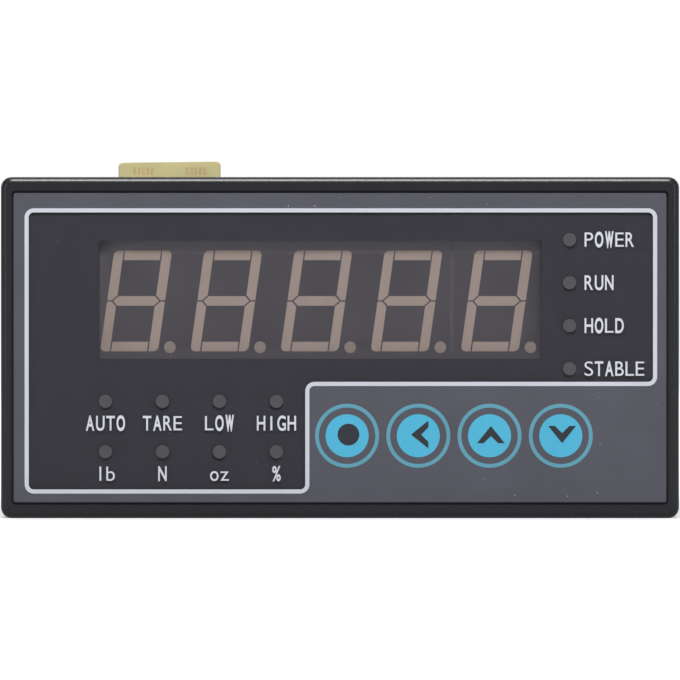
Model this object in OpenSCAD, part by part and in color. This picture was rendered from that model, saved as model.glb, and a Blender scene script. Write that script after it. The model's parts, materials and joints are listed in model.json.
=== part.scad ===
// Panel-mounted weighing indicator. A framed front carries a printed film, five digits, twelve lamps and
// four keys. A vented case stands behind the panel and a screw terminal base closes its back.
// Millimetres. X runs to the right seen from the front, Y into the panel and Z up.
// The origin is the centre of the panel seat, which is the back face of the bezel.

/* [Bezel] */
// Width of the bezel
bezel_w = 95.4; // [93:0.1:104]
// Height of the bezel
bezel_h = 48; // [44:0.1:56]
// How far the bezel stands in front of the panel
bezel_depth = 8.5; // [7.5:0.1:14]
// Corner radius of the bezel's outline
bezel_corner_r = 1.5; // [1:0.1:2.5]
// Radius of the rounded edge round the bezel's front
bezel_edge_r = 0.7; // [0.3:0.05:0.9]
// Width of the rim to the left and right of the film's seat
rim_side = 1.45; // [1:0.05:3]
// Width of the rim above and below the film's seat
rim_top = 1.9; // [1:0.05:3]
// Thickness of the bezel's front plate, behind the film
plate_t = 1.6; // [1.3:0.1:2.4]

/* [Film] */
// Thickness of the printed film
film_t = 0.4; // [0.2:0.05:0.6]
// Depth of the film's seat below the rim
film_recess = 0.7; // [0.6:0.05:1.2]
// Gap between the film's edge and the rim
film_gap = 0.35; // [0.1:0.05:0.8]
// Corner radius of the film
film_corner_r = 0.3; // [0.2:0.1:2]

/* [Digits] */
// Distance from one digit to the next
digit_pitch = 12.7; // [12.2:0.1:13]
// Height of a digit
digit_h = 14.2; // [12:0.1:15]
// Width of a digit, measured square across its slanted strokes
digit_w = 8.15; // [7:0.05:8.6]
// Width of a stroke of a digit
stroke_w = 1.35; // [1:0.05:1.6]
// Gap between two strokes
stroke_gap = 0.2; // [0.1:0.02:0.3]
// Slant of the digits in degrees
digit_slant = 8; // [0:0.5:10]
// Diameter of a decimal point
point_d = 1.65; // [1.2:0.05:1.9]
// Middle of the third digit, to the right of the bezel's centre
digits_x = -3.32; // [-4:0.02:-2.5]
// Middle of the digits, above the bezel's centre
digits_z = 6.55; // [6:0.05:7.5]
// Height of a digit block
digit_block_h = 19; // [17.5:0.1:19.5]
// Thickness of a digit block
digit_block_t = 8; // [7:0.1:10]
// Gap between the two digit blocks
digit_block_gap = 0.1; // [0.1:0.05:0.6]
// How far the window's edge laps the digit blocks above and below
window_lap = 1.15; // [0.5:0.05:2]
// How far the window's edge laps the digit blocks left and right
window_side_lap = 0.6; // [0.3:0.05:1]
// Middle of the window, to the right of the digits' middle
window_shift_x = 0.5; // [-0.5:0.05:0.5]
// Middle of the window, above the digits' middle
window_shift_z = 0.15; // [-0.5:0.05:0.5]

/* [Lamps] */
// Diameter of a lamp
lamp_d = 2.9; // [2.4:0.1:3.2]
// Height of a lamp from its base to its tip
lamp_h = 5; // [4:0.1:6]
// Diameter of the hole that a lamp shows through
lamp_hole_d = 1.85; // [1.2:0.05:2.2]
// Place of the column of status lamps
status_lamp_x = 32.3; // [32:0.1:36]
// Height of the top status lamp
status_lamp_z = 15.2; // [14:0.1:15.5]
// Distance from one status lamp to the next
status_lamp_pitch = 6.05; // [5:0.05:6.2]
// Place of the first lamp of the two lower rows
row_lamp_x = -33; // [-33.5:0.1:-31]
// Distance from one lamp of a lower row to the next
row_lamp_pitch = 8.02; // [6:0.02:8.4]
// Height of the row of output lamps
output_lamp_z = -7.55; // [-8:0.05:-7]
// Height of the row of unit lamps
unit_lamp_z = -14.65; // [-15.5:0.05:-13]

/* [Keys] */
// Diameter of a key's head
key_d = 5.7; // [4.5:0.1:6.4]
// Distance from one key to the next
key_pitch = 10.02; // [9.4:0.02:10.4]
// Place of the first key
first_key_x = 1; // [0:0.02:2]
// Height of the row of keys
key_z = -12.4; // [-13:0.05:-11]
// Travel of a key
key_travel = 0.3; // [0.2:0.05:0.5]
// Gap round a key's head in its hole
key_gap = 0.2; // [0.1:0.05:0.4]
// Diameter of the shallow recess round a key's hole, in which the film bends
key_recess_d = 8; // [7.2:0.1:8.4]
// Height of a switch's body above its board
switch_h = 3.5; // [3:0.1:4]
// Width of a switch's body
switch_w = 6; // [5:0.1:6.4]
// Diameter of a switch's plunger
plunger_d = 3.4; // [2.5:0.1:3.8]
// How far a plunger stands out of its switch
plunger_rise = 1.5; // [1:0.1:2]

/* [Print] */
// Thickness of one layer of print on the film
print_t = 0.05; // [0.03:0.01:0.08]
// Width of the line round the smoked window
line_w = 0.58; // [0.4:0.02:0.8]
// Corner radius of the line's middle
line_corner_r = 1; // [0.6:0.1:2]
// Distance of the line's middle from the film's left edge
line_left = 1.82; // [1:0.02:3]
// Distance of the line's middle from the film's right edge
line_right = 1.58; // [1:0.02:3]
// Distance of the line's middle from the film's upper edge
line_top = 2.44; // [1:0.02:3]
// Distance of the line's middle from the film's lower edge
line_bottom = 1.51; // [1:0.01:3]
// Place of the line's upright step, left of the keys
step_x = -4.6; // [-5.4:0.1:-4.2]
// Height of the line above the keys
step_z = -5.1; // [-5.6:0.1:-4.6]
// Diameter of the coloured disc on a key
disc_d = 6.05; // [5:0.05:7]
// Outer diameter of the ring round a key
ring_d = 9; // [8.4:0.1:9.3]
// Width of the ring round a key
ring_w = 0.53; // [0.3:0.01:0.8]
// Diameter of the dot on the first key
dot_d = 3.06; // [2:0.02:4]
// Width of an arrow across its arms
arrow_w = 3.92; // [3:0.02:4.4]
// Length of an arrow from its tip to the ends of its arms
arrow_l = 2.44; // [1.8:0.02:2.8]
// Length of an arrow from its tip to the bottom of its notch
arrow_tip_l = 1.43; // [0.8:0.01:1.7]
// Width of an arrow's notch between the ends of its arms
arrow_notch_w = 2.04; // [1.4:0.02:2.6]

/* [Case] */
// How far the bezel laps the panel to the left and right of the case
panel_lap_side = 2.2; // [1.7:0.1:3]
// How far the bezel laps the panel above and below the case
panel_lap_top = 2.3; // [1.7:0.1:4]
// Length of the case behind the panel
case_depth = 86; // [82:0.5:110]
// Thickness of the case's walls
case_wall = 2; // [1.6:0.1:2.2]
// Corner radius of the case
case_corner_r = 1.2; // [0.6:0.1:2]
// Gap between parts that push together
slip = 0.1; // [0.05:0.01:0.2]
// Width of a ventilation slot
vent_w = 2; // [1.4:0.1:3]
// Length of a ventilation slot
vent_l = 14; // [8:0.5:18]
// Distance from one ventilation slot to the next
vent_pitch = 5.4; // [4:0.1:5.8]
// Slots in a row
vent_count = 13; // [5:2:13]
// Height of the mouth of a clamp slot in the case's side
clamp_mouth = 6.4; // [4:0.1:8]
// Height of a clamp slot behind its mouth
clamp_slot_h = 9.4; // [8.6:0.1:11]
// Depth of a clamp slot's mouth
clamp_lip = 0.9; // [0.6:0.1:1]
// Depth of a clamp slot behind its mouth
clamp_slot_t = 1.1; // [0.8:0.1:1.4]

/* [Boards] */
// Thickness of a circuit board
board_t = 1.6; // [1:0.1:2]
// Gap between the display board and the case's walls
board_gap = 0.3; // [0.2:0.05:0.8]
// Height of the main board above the case's floor
main_board_lift = 3; // [2:0.1:4]
// Distance of the terminal board from the case's back end
terminal_board_inset = 10; // [8:0.5:14]

/* [Terminals] */
// Terminals in a row
terminal_count = 10; // [6:1:10]
// Distance from one terminal to the next
terminal_pitch = 7.6; // [7:0.1:7.8]
// Thickness of the barrier between two terminals
barrier_t = 1.2; // [0.8:0.1:1.4]
// Height of a barrier above the base
barrier_h = 7; // [6.6:0.1:9]
// Distance of a row of terminals from the middle
terminal_z = 11.6; // [11:0.1:12.5]
// Width of a row from its inner wall to the barriers' free ends
terminal_row_h = 13; // [12.4:0.1:14]
// Thickness of the base's plate
base_t = 2; // [1.5:0.1:3]
// Height of the ledge that carries the terminal tabs
ledge_h = 2.5; // [2:0.1:3]
// Thickness of a terminal tab
tab_t = 0.8; // [0.5:0.1:1]
// Thickness of a terminal's square washer
washer_t = 0.9; // [0.6:0.1:1.2]
// Diameter of a terminal screw's thread
screw_d = 2.9; // [2.4:0.1:3.2]
// Diameter of a terminal screw's head
screw_head_d = 5.6; // [5:0.1:5.8]

/* [Label] */
// Width of the peeled label on the case's top
label_w = 14.5; // [8:0.1:20]
// Middle of the label
label_x = -24.2; // [-34:0.1:34]
// How far the label's free end stands above the bezel
label_rise = 2.2; // [0.5:0.1:5]
// Distance of the label's fold from the panel seat
label_y = 7; // [3:0.1:12]
// Length of the label that is stuck down
label_foot = 9; // [5:0.5:14]
// Thickness of the label
label_t = 0.2; // [0.12:0.02:0.3]
// Lean of the label's free end towards the back, in degrees
label_lean = 4; // [0:1:20]

/* [Hidden] */
$fn = 48;
corner_steps = 6;
cut = 1;                                        // overrun of a cutting tool past the face that it cuts

// Stations along Y, from the front to the back.
rim_y = -bezel_depth;
seat_y = rim_y + film_recess;
film_y = seat_y - film_t;
plate_back_y = seat_y + plate_t;
contact_gap = 0.05;                             // gap between a key's head and the film
block_gap = 0.2;                                // gap between the plate and the digit blocks
block_y = plate_back_y + block_gap;
board_y = block_y + digit_block_t;
board_back_y = board_y + board_t;
case_end_y = case_depth;
base_y = case_end_y + base_t;
terminal_board_y = case_end_y - terminal_board_inset;

// Outlines.
case_w = bezel_w - 2 * panel_lap_side;
case_h = bezel_h - 2 * panel_lap_top;
recess_w = bezel_w - 2 * rim_side;
recess_h = bezel_h - 2 * rim_top;
film_w = recess_w - 2 * film_gap;
film_h = recess_h - 2 * film_gap;
inner_w = case_w - 2 * case_wall;
inner_h = case_h - 2 * case_wall;
board_w = inner_w - 2 * board_gap;
board_h = inner_h - 2 * board_gap;

// Digit blocks: one of four digits and one of a single digit, side by side.
digit_count = 5;
quad_count = 4;
quad_x = digits_x - digit_pitch / 2;
single_x = digits_x + 2 * digit_pitch;
quad_w = quad_count * digit_pitch - digit_block_gap;
single_w = digit_pitch - digit_block_gap;
stroke_t = 0.8;                                 // depth of a stroke in its block
point_side = 0.675;                             // from a digit's side to the middle of its decimal point
point_drop = 0.26;                              // how far a decimal point reaches below its digit
point_x = digit_w / 2 + point_side;
point_z = point_d / 2 - digit_h / 2 - point_drop;
point_gap = 0.03;
stroke_corner_r = 0.7;
stroke_chamfer = 0.7;                           // diagonal end of an upright stroke beside the middle one
window_w = digit_count * digit_pitch - digit_block_gap - 2 * window_side_lap;
window_h = digit_block_h - 2 * window_lap;
pin_pitch = 2.54;
pin_row = 15.24;                                // distance between a digit block's two rows of pins
pin_d = 0.5;
pin_hole_d = 0.8;
pin_reach = 1;                                  // how far a pin stands out behind its board

// Lamps.
lamp_count = 4;
lamp_clear = 0.15;
lamp_seat = 1;                                  // depth of a lamp's pocket in the plate's back
lamp_tip_gap = 0.1;                             // gap between a lamp's tip and the end of its pocket
lamp_tip_y = plate_back_y - lamp_seat + lamp_tip_gap;
lamp_base_y = lamp_tip_y + lamp_h;
lamp_flange_reach = 0.45;
lamp_flange_d = lamp_d + 2 * lamp_flange_reach;
lamp_flange_t = 1;
lead_w = 0.5;
lead_spread = 2.54;

// Keys and switches.
key_count = 4;
key_flange_reach = 0.95;
key_flange_d = key_d + 2 * key_flange_reach;
key_flange_t = 0.9;
key_stem_d = 4.4;
key_recess_room = 0.15;                         // from the pressed film to the bottom of a key's recess
key_recess = key_travel + key_recess_room;
switch_face_y = board_y - switch_h;
plunger_tip_y = switch_face_y - plunger_rise;
plunger_gap = 0.1;
plunger_root = 0.8;                             // length of a plunger inside its switch
switch_pin_inset = 0.75;                        // from a switch's side to the middle of a pin
switch_pin_at = switch_w / 2 - switch_pin_inset;
switch_pin_d = 0.7;
switch_pin_hole_d = 1;

// Print on the film: the grey field, the coloured prints on it and the dark symbols on those.
field_y = film_y - print_t;
colour_y = field_y - print_t;
symbol_y = colour_y - print_t;
line_low_z = line_bottom - film_h / 2;
window_corners = [[line_left - film_w / 2, line_low_z], [step_x, line_low_z], [step_x, step_z],
                  [film_w / 2 - line_right, step_z], [film_w / 2 - line_right, film_h / 2 - line_top],
                  [line_left - film_w / 2, film_h / 2 - line_top]];
arrow_turns = [180, 90, 270];                   // where the arrows on the second to the last key point
symbol_shift = [0.19, 0.17];                    // from a key's middle to the middle of its symbol

// Screws that hold the display board to the bezel.
boss_d = 4.6;
boss_inset = 3.6;
boss_x = board_w / 2 - boss_inset;
boss_z = board_h / 2 - boss_inset;
board_screw_d = 2;
board_screw_l = 5.5;
board_screw_hole_l = 6;
board_screw_head_d = 4;
board_screw_head_h = 1.4;
thread_gap = 0.05;
hole_gap = 0.2;                                 // radial room for a screw in a plain hole

// Catches that hold the bezel on the case.
catch_w = 8;
catch_x = 25;
catch_rise = 0.8;
catch_l = 2;
catch_y = -2.2;
catch_root = 0.5;                               // depth of a catch inside the bezel's wall
catch_gap = 0.2;

// Case details.
vent_rows = 2;
vent_y = 30;
vent_row_gap = 5;
clamp_y = 14;
clamp_l = 52;
clamp_entry_l = 9;                              // length of the wide entry at the clamp slot's back end
clamp_floor = 1.2;                              // wall behind and round a clamp slot
clamp_depth = clamp_lip + clamp_slot_t;
clamp_pad_x = case_w / 2 - clamp_depth - clamp_floor;
clamp_pad_h = clamp_slot_h + 2 * clamp_floor;
rail_reach = 2;
rail_t = 1.2;
rail_gap = 0.1;
rail_inset = 3;                                 // from the display board's back to the rails
rail_y = board_back_y + rail_inset;
board_end_gap = 1;                              // gap between the main board's ends and the upright boards
rail_end_y = terminal_board_y - board_end_gap;
cover_screw_inset = 2.2;
cover_screw_x = inner_w / 2 - cover_screw_inset;
cover_boss_d = 6;
cover_boss_gap = 0.4;                           // gap between the terminal board's back and the bosses
cover_boss_y = terminal_board_y + board_t + cover_boss_gap;
cover_screw_d = 2.6;
cover_screw_l = 6;
cover_screw_hole_l = 6.6;
cover_screw_head_d = 4.8;
cover_screw_head_h = 2;

// Main board and what stands on it.
main_board_z = -inner_h / 2 + main_board_lift;
main_top_z = main_board_z + board_t;
main_board_side_gap = 0.2;
main_board_w = inner_w - 2 * main_board_side_gap;
main_board_y = board_back_y + board_screw_head_h + board_end_gap;
main_board_end_y = terminal_board_y - board_end_gap;
main_mid_y = (main_board_y + main_board_end_y) / 2;
rail_room = 0.4;                                // from a rail's edge to the nearest part on the main board
load_x = inner_w / 2 - rail_reach - rail_room;  // half of the width between the rails that parts may take
link_count = 10;
link_w = link_count * pin_pitch;
link_t = 2.5;
link_socket_l = 8.5;
link_gap = 0.3;
link_pin_w = 0.64;
link_pin_reach = 5;
link_z = main_board_z - link_t / 2;
socket_drop = 0.1;                              // gap between a link socket and the main board's underside
well_gap = 0.1;                                 // room round a pin in its well
well_l = link_pin_reach + 1;
core_w = 36;
core_h = 29;
core_t = 14;
core_leg = 11;
core_yoke = 5.5;
coil_gap = 0.15;
transformer_x = core_w / 2 - load_x;
heavy_shift = 8;                                // transformer and relays, behind the main board's middle
transformer_y = main_mid_y + heavy_shift;
relay_size = [15.5, 19, 15.3];
relay_count = 2;
relay_gap = 4;
relay_corner_r = 0.6;
relay_x = [for (i = [1:relay_count])
    load_x - relay_size.x / 2 - (relay_count - i) * (relay_size.x + relay_gap)];
relay_y = main_mid_y + heavy_shift;
capacitor_d = 10;
capacitor_h = 16;
capacitor_foot = 1.6;                           // height of a capacitor's groove above its base
capacitor_groove = 0.5;
capacitor_edge = 0.6;
capacitor_count = 2;
capacitor_pitch = 13;
capacitor_side = 8;                             // from the left rail's room to the first capacitor's middle
capacitor_x = [for (i = [1:capacitor_count]) capacitor_side - load_x + (i - 1) * capacitor_pitch];
capacitor_shift = 18;                           // capacitors, in front of the main board's middle
capacitor_y = main_mid_y - capacitor_shift;
controller_w = 10;
controller_x = 8;
converter_w = 7.5;
converter_side = 13;                            // from the right rail's room to the converter chip's middle
converter_x = load_x - converter_side;
chip_shift = 16;                                // chips, in front of the main board's middle
chip_y = main_mid_y - chip_shift;
chip_t = 1.6;
chip_lift = 0.15;
chip_lead_pitch = 1.27;
chip_lead_l = 1;
chip_lead_w = 0.4;

// Terminal base.
terminal_inner_z = terminal_z - terminal_row_h / 2;
terminal_outer_z = terminal_z + terminal_row_h / 2;
ledge_reach = 4.2;                              // from a terminal's middle to the ledge's outer edge
ledge_outer_z = terminal_z + ledge_reach;
ledge_y = base_y + ledge_h;
tab_side_gap = 0.3;
tab_reach_in = 4;
tab_reach_out = 3.8;
tab_w = terminal_pitch - barrier_t - 2 * tab_side_gap;
tab_inner_z = terminal_z - tab_reach_in;
tab_outer_z = terminal_z + tab_reach_out;
leg_w = 2.4;
leg_gap = 0.2;
leg_end_y = terminal_board_y - pin_reach;
washer_inset = 0.05;
washer_w = tab_w - 2 * washer_inset;
screw_seat_y = ledge_y + tab_t + washer_t;
screw_head_h = 2.1;
screw_l = 5;
screw_hole_l = 4;
crown_share = 0.45;                             // rounded part of a screw head's height
cross_share = 0.54;                             // length of a cross recess over the head's diameter
cross_w = 0.8;
cross_depth = 1;
locator_w = 60;
locator_t = 1.2;
locator_l = 3;
terminal_board_side = 1.6;                      // gap between the terminal board's sides and the case's walls
terminal_board_rise = 3;                        // from the upper legs to the terminal board's upper edge
terminal_board_w = inner_w - 2 * terminal_board_side;
terminal_board_low_z = -board_h / 2;
terminal_board_top_z = tab_inner_z + terminal_board_rise;

// Label.
label_bend_r = 0.6;
label_corner_r = 0.8;
label_corner_room = 3;                          // keeps the rounding tool's lower corners below the label
label_top_z = bezel_h / 2 + label_rise;

key_ids = [1:key_count];
lamp_ids = [1:lamp_count];

// Places.
function key_x(i) = first_key_x + (i - 1) * key_pitch;
function digit_x(i) = digits_x + (i - (digit_count + 1) / 2) * digit_pitch;
function status_lamp_at(i) = [status_lamp_x, status_lamp_z - (i - 1) * status_lamp_pitch];
function output_lamp_at(i) = [row_lamp_x + (i - 1) * row_lamp_pitch, output_lamp_z];
function unit_lamp_at(i) = [row_lamp_x + (i - 1) * row_lamp_pitch, unit_lamp_z];
function terminal_x(i) = (i - (terminal_count + 1) / 2) * terminal_pitch;
lamp_places = concat(
    [for (i = lamp_ids) status_lamp_at(i)],
    [for (i = lamp_ids) output_lamp_at(i)],
    [for (i = lamp_ids) unit_lamp_at(i)]);

// Outline helpers.
function arc(centre, r, from, to, steps) =
    [for (i = [0:steps]) let (a = from + (to - from) * i / steps) centre + r * [cos(a), sin(a)]];
function rounded_outline(w, h, r) =
    [for (k = [0:3])
        let (centre = [(k == 0 || k == 3 ? 1 : -1) * (w / 2 - r), (k < 2 ? 1 : -1) * (h / 2 - r)])
        each arc(centre, r, 90 * k, 90 * k + 90, corner_steps)];

// An outline with square corners, given anticlockwise, moved out by grow and rounded at each corner.
function rounded_corners(corners, r, grow) =
    [for (k = [0:len(corners) - 1])
        let (corner = corners[k],
             way_in = corner - corners[(k + len(corners) - 1) % len(corners)],
             way_out = corners[(k + 1) % len(corners)] - corner,
             before = way_in / norm(way_in),
             after = way_out / norm(way_out),
             turn = before.x * after.y - before.y * after.x,
             arc_r = r + turn * grow,
             centre = corner + (grow - turn * arc_r) * [before.y + after.y, -before.x - after.x],
             from = atan2(-before.x * turn, before.y * turn))
        each arc(centre, arc_r, from, from + 90 * turn, corner_steps)];

// A drawing in X and Z, drawn out from y0 to y1.
module slab(y0, y1) {
    translate([0, y1, 0])
        rotate([90, 0, 0])
            linear_extrude(y1 - y0)
                children();
}

// A drawing in Y and Z, drawn out from x0 to x1.
module section(x0, x1) {
    translate([x0, 0, 0])
        rotate([90, 0, 90])
            linear_extrude(x1 - x0)
                children();
}

// A block between two corners.
module span(low, high) {
    translate(low)
        cube(high - low);
}

// A block centred in X and Z, from y0 to y1.
module block(w, h, y0, y1) {
    span([-w / 2, y0, -h / 2], [w / 2, y1, h / 2]);
}

// A round bar along Y.
module bar(x, z, y0, y1, d) {
    translate([x, y1, z])
        rotate([90, 0, 0])
            cylinder(d = d, h = y1 - y0);
}

// A shape and its mirror image below the middle.
module above_and_below() {
    children();
    mirror([0, 0, 1])
        children();
}

// A shape and its mirror image left of the middle.
module left_and_right() {
    children();
    mirror([1, 0, 0])
        children();
}

// The bezel's outer form, with its front edge rounded by a quarter circle.
module bezel_form() {
    edge_steps = 6;
    rings = concat(
        [for (i = [0:edge_steps])
            let (a = 90 * i / edge_steps)
            [bezel_edge_r * (1 - sin(a)), rim_y + bezel_edge_r * (1 - cos(a))]],
        [[0, 0]]);
    count = 4 * (corner_steps + 1);
    function ring_outline(inset) =
        rounded_outline(bezel_w - 2 * inset, bezel_h - 2 * inset, bezel_corner_r - inset);
    points = [for (ring = rings) each [for (p = ring_outline(ring[0])) [p.x, ring[1], p.y]]];
    last = len(rings) - 1;
    sides = [for (i = [0:last - 1], j = [0:count - 1])
        let (k = (j + 1) % count)
        [i * count + j, i * count + k, (i + 1) * count + k, (i + 1) * count + j]];
    front = [[for (j = [count - 1:-1:0]) j]];
    back = [[for (j = [0:count - 1]) last * count + j]];
    polyhedron(points, concat(front, sides, back));
}

// A catch of the bezel, a wedge with a square back, standing in from the cavity's upper wall.
module bezel_catch() {
    wall_z = case_h / 2 + slip;
    root_z = wall_z + catch_root;
    tip_z = wall_z - catch_rise;
    section(-catch_w / 2, catch_w / 2)
        polygon([[catch_y, root_z], [catch_y - catch_l, root_z], [catch_y - catch_l, tip_z],
                 [catch_y - catch_l / 2, tip_z], [catch_y, wall_z]]);
}

module front_bezel() {
    color("#26272a")
        difference() {
            union() {
                difference() {
                    bezel_form();
                    slab(rim_y - cut, seat_y)
                        polygon(rounded_outline(recess_w, recess_h, film_corner_r + film_gap));
                    slab(plate_back_y, cut)
                        polygon(rounded_outline(case_w + 2 * slip, case_h + 2 * slip, case_corner_r + slip));
                }
                for (x = [-boss_x, boss_x], z = [-boss_z, boss_z])
                    bar(x, z, plate_back_y - plate_t / 2, board_y, boss_d);
                above_and_below()
                    for (x = [-catch_x, catch_x])
                        translate([x, 0, 0])
                            bezel_catch();
            }
            for (x = [-boss_x, boss_x], z = [-boss_z, boss_z])
                bar(x, z, board_y - board_screw_hole_l, board_y + cut, board_screw_d + 2 * thread_gap);
            translate([digits_x + window_shift_x, 0, digits_z + window_shift_z])
                block(window_w, window_h, seat_y - cut, plate_back_y + cut);
            for (p = lamp_places) {
                bar(p.x, p.y, seat_y - cut, plate_back_y, lamp_hole_d);
                bar(p.x, p.y, plate_back_y - lamp_seat, plate_back_y + cut, lamp_d + 2 * lamp_clear);
            }
            for (i = key_ids) {
                bar(key_x(i), key_z, seat_y - cut, plate_back_y + cut, key_d + 2 * key_gap);
                bar(key_x(i), key_z, seat_y - cut, seat_y + key_recess, key_recess_d);
            }
        }
}

module front_film() {
    color("#303036", 0.4)
        slab(film_y, seat_y)
            polygon(rounded_outline(film_w, film_h, film_corner_r));
}

// The film's grey field, which leaves the smoked window free.
module grey_print() {
    color("#5a5a64")
        slab(field_y, film_y)
            difference() {
                polygon(rounded_outline(film_w, film_h, film_corner_r));
                polygon(rounded_corners(window_corners, line_corner_r, 0));
            }
}

// The white line round the smoked window.
module line_print() {
    color("#d4d4dd")
        slab(colour_y, field_y)
            difference() {
                polygon(rounded_corners(window_corners, line_corner_r, line_w / 2));
                polygon(rounded_corners(window_corners, line_corner_r, -line_w / 2));
            }
}

module ring_prints() {
    color("#52879a")
        for (i = key_ids)
            translate([key_x(i), 0, key_z])
                slab(colour_y, field_y)
                    difference() {
                        circle(d = ring_d);
                        circle(d = ring_d - 2 * ring_w);
                    }
}

module disc_prints() {
    color("#57b4d3")
        for (i = key_ids)
            bar(key_x(i), key_z, colour_y, field_y, disc_d);
}

// The dot on the first key and the arrows on the others.
module symbol_prints() {
    tail_x = -arrow_l / 2;
    notch_x = arrow_l / 2 - arrow_tip_l;
    color("#26272b")
        for (i = key_ids)
            translate([key_x(i) + symbol_shift.x, 0, key_z + symbol_shift.y])
                slab(symbol_y, colour_y)
                    if (i == 1)
                        circle(d = dot_d);
                    else
                        rotate(arrow_turns[i - 2])
                            polygon([[arrow_l / 2, 0], [tail_x, arrow_w / 2], [tail_x, arrow_notch_w / 2],
                                     [notch_x, 0], [tail_x, -arrow_notch_w / 2], [tail_x, -arrow_w / 2]]);
}

// One point of a digit, slanted to the right as it rises.
function slanted(p) = [p.x + p.y * tan(digit_slant), p.y];

// Strokes of a digit about its middle: an upright of one quarter, the top bar and the middle bar.
half_w = digit_w / 2;
half_h = digit_h / 2;
inner_x = half_w - stroke_w;
upright = concat(
    [[half_w, stroke_gap / 2]],
    arc([half_w - stroke_corner_r, half_h - stroke_corner_r], stroke_corner_r, 0, 90, corner_steps),
    [[inner_x, half_h],
     [inner_x, stroke_gap / 2 + stroke_chamfer],
     [inner_x + stroke_chamfer, stroke_gap / 2]]);
top_bar = [[-inner_x + stroke_gap, half_h - stroke_w], [inner_x - stroke_gap, half_h - stroke_w],
           [inner_x - stroke_gap, half_h], [-inner_x + stroke_gap, half_h]];
middle_tip = inner_x + stroke_chamfer - stroke_gap;
middle_end = middle_tip - stroke_w / 2;
middle_bar = [[-middle_tip, 0], [-middle_end, -stroke_w / 2], [middle_end, -stroke_w / 2],
              [middle_tip, 0], [middle_end, stroke_w / 2], [-middle_end, stroke_w / 2]];
digit_strokes = concat(
    [for (sx = [-1, 1], sz = [-1, 1]) [for (p = upright) [p.x * sx, p.y * sz]]],
    [for (sz = [-1, 1]) [for (p = top_bar) [p.x, p.y * sz]]],
    [middle_bar]);

// The lit parts of digits, drawn out from y0 to y1: seven strokes and a decimal point each.
module strokes(digits, y0, y1, point_grow) {
    for (i = digits)
        translate([digit_x(i), 0, digits_z]) {
            for (stroke = digit_strokes)
                slab(y0, y1)
                    polygon([for (p = stroke) slanted(p)]);
            bar(point_x, point_z, y0, y1, point_d + point_grow);
        }
}

// The two rows of pins of one digit block, or the holes for them.
module digit_pins(x, pins, y0, y1, d) {
    for (k = [1:pins], s = [-1, 1])
        bar(x + (k - (pins + 1) / 2) * pin_pitch, digits_z + s * pin_row / 2, y0, y1, d);
}

// A digit block: a dark housing with a pocket for each stroke and two rows of pins.
module digit_block(x, w, digits, pins) {
    color("#3f3d40")
        difference() {
            union() {
                translate([x, 0, digits_z])
                    block(w, digit_block_h, block_y, board_y);
                digit_pins(x, pins, board_y - cut, board_back_y + pin_reach, pin_d);
            }
            strokes(digits, block_y - cut, block_y + stroke_t, 2 * point_gap);
        }
}

quad_digits = [1:quad_count];
single_digits = [digit_count:digit_count];
quad_pins = 6;
single_pins = 5;

module quad_digit_block() {
    digit_block(quad_x, quad_w, quad_digits, quad_pins);
}

module single_digit_block() {
    digit_block(single_x, single_w, single_digits, single_pins);
}

module quad_digit_strokes() {
    color("#d8cdc2")
        strokes(quad_digits, block_y, block_y + stroke_t, 0);
}

module single_digit_strokes() {
    color("#d8cdc2")
        strokes(single_digits, block_y, block_y + stroke_t, 0);
}

module display_board() {
    color("#1f5b3a")
        difference() {
            block(board_w, board_h, board_y, board_back_y);
            for (x = [-boss_x, boss_x], z = [-boss_z, boss_z])
                bar(x, z, board_y - cut, board_back_y + cut, board_screw_d + 2 * hole_gap);
            digit_pins(quad_x, quad_pins, board_y - cut, board_back_y + cut, pin_hole_d);
            digit_pins(single_x, single_pins, board_y - cut, board_back_y + cut, pin_hole_d);
            for (p = lamp_places, s = [-1, 1])
                bar(p.x + s * lead_spread / 2, p.y, board_y - cut, board_back_y + cut, pin_hole_d);
            for (i = key_ids, sx = [-1, 1], sz = [-1, 1])
                bar(key_x(i) + sx * switch_pin_at, key_z + sz * switch_pin_at,
                    board_y - cut, board_back_y + cut, switch_pin_hole_d);
        }
}

// A pan-head screw along Y with its head towards the back and a cross recess.
module screw(x, head_y, z, d, l, head_d, head_h) {
    crown = head_h * crown_share;
    cross_l = head_d * cross_share;
    translate([x, head_y, z])
        rotate([-90, 0, 0])
            difference() {
                union() {
                    translate([0, 0, -l])
                        cylinder(d = d, h = l + head_h / 2);
                    rotate_extrude()
                        polygon(concat([[0, 0], [head_d / 2, 0]],
                                       arc([head_d / 2 - crown, head_h - crown], crown, 0, 90, corner_steps),
                                       [[0, head_h]]));
                }
                for (turn = [0, 90])
                    rotate([0, 0, turn])
                        translate([-cross_l / 2, -cross_w / 2, head_h - cross_depth])
                            cube([cross_l, cross_w, cross_depth + cut]);
            }
}

module display_board_screws() {
    color("silver")
        for (x = [-boss_x, boss_x], z = [-boss_z, boss_z])
            screw(x, board_back_y, z, board_screw_d, board_screw_l, board_screw_head_d, board_screw_head_h);
}

// A lamp: a domed body on a flange, with two leads through the display board.
module lamp(p) {
    dome_r = lamp_d / 2;
    color("#cfcac2")
        union() {
            translate([p.x, lamp_base_y, p.y])
                rotate([90, 0, 0])
                    rotate_extrude()
                        polygon(concat([[0, 0], [lamp_flange_d / 2, 0], [lamp_flange_d / 2, lamp_flange_t],
                                        [dome_r, lamp_flange_t]],
                                       arc([0, lamp_h - dome_r], dome_r, 0, 90, 2 * corner_steps)));
            for (s = [-1, 1])
                translate([p.x + s * lead_spread / 2, 0, p.y])
                    block(lead_w, lead_w, lamp_base_y - cut / 2, board_back_y + pin_reach);
        }
}

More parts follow.
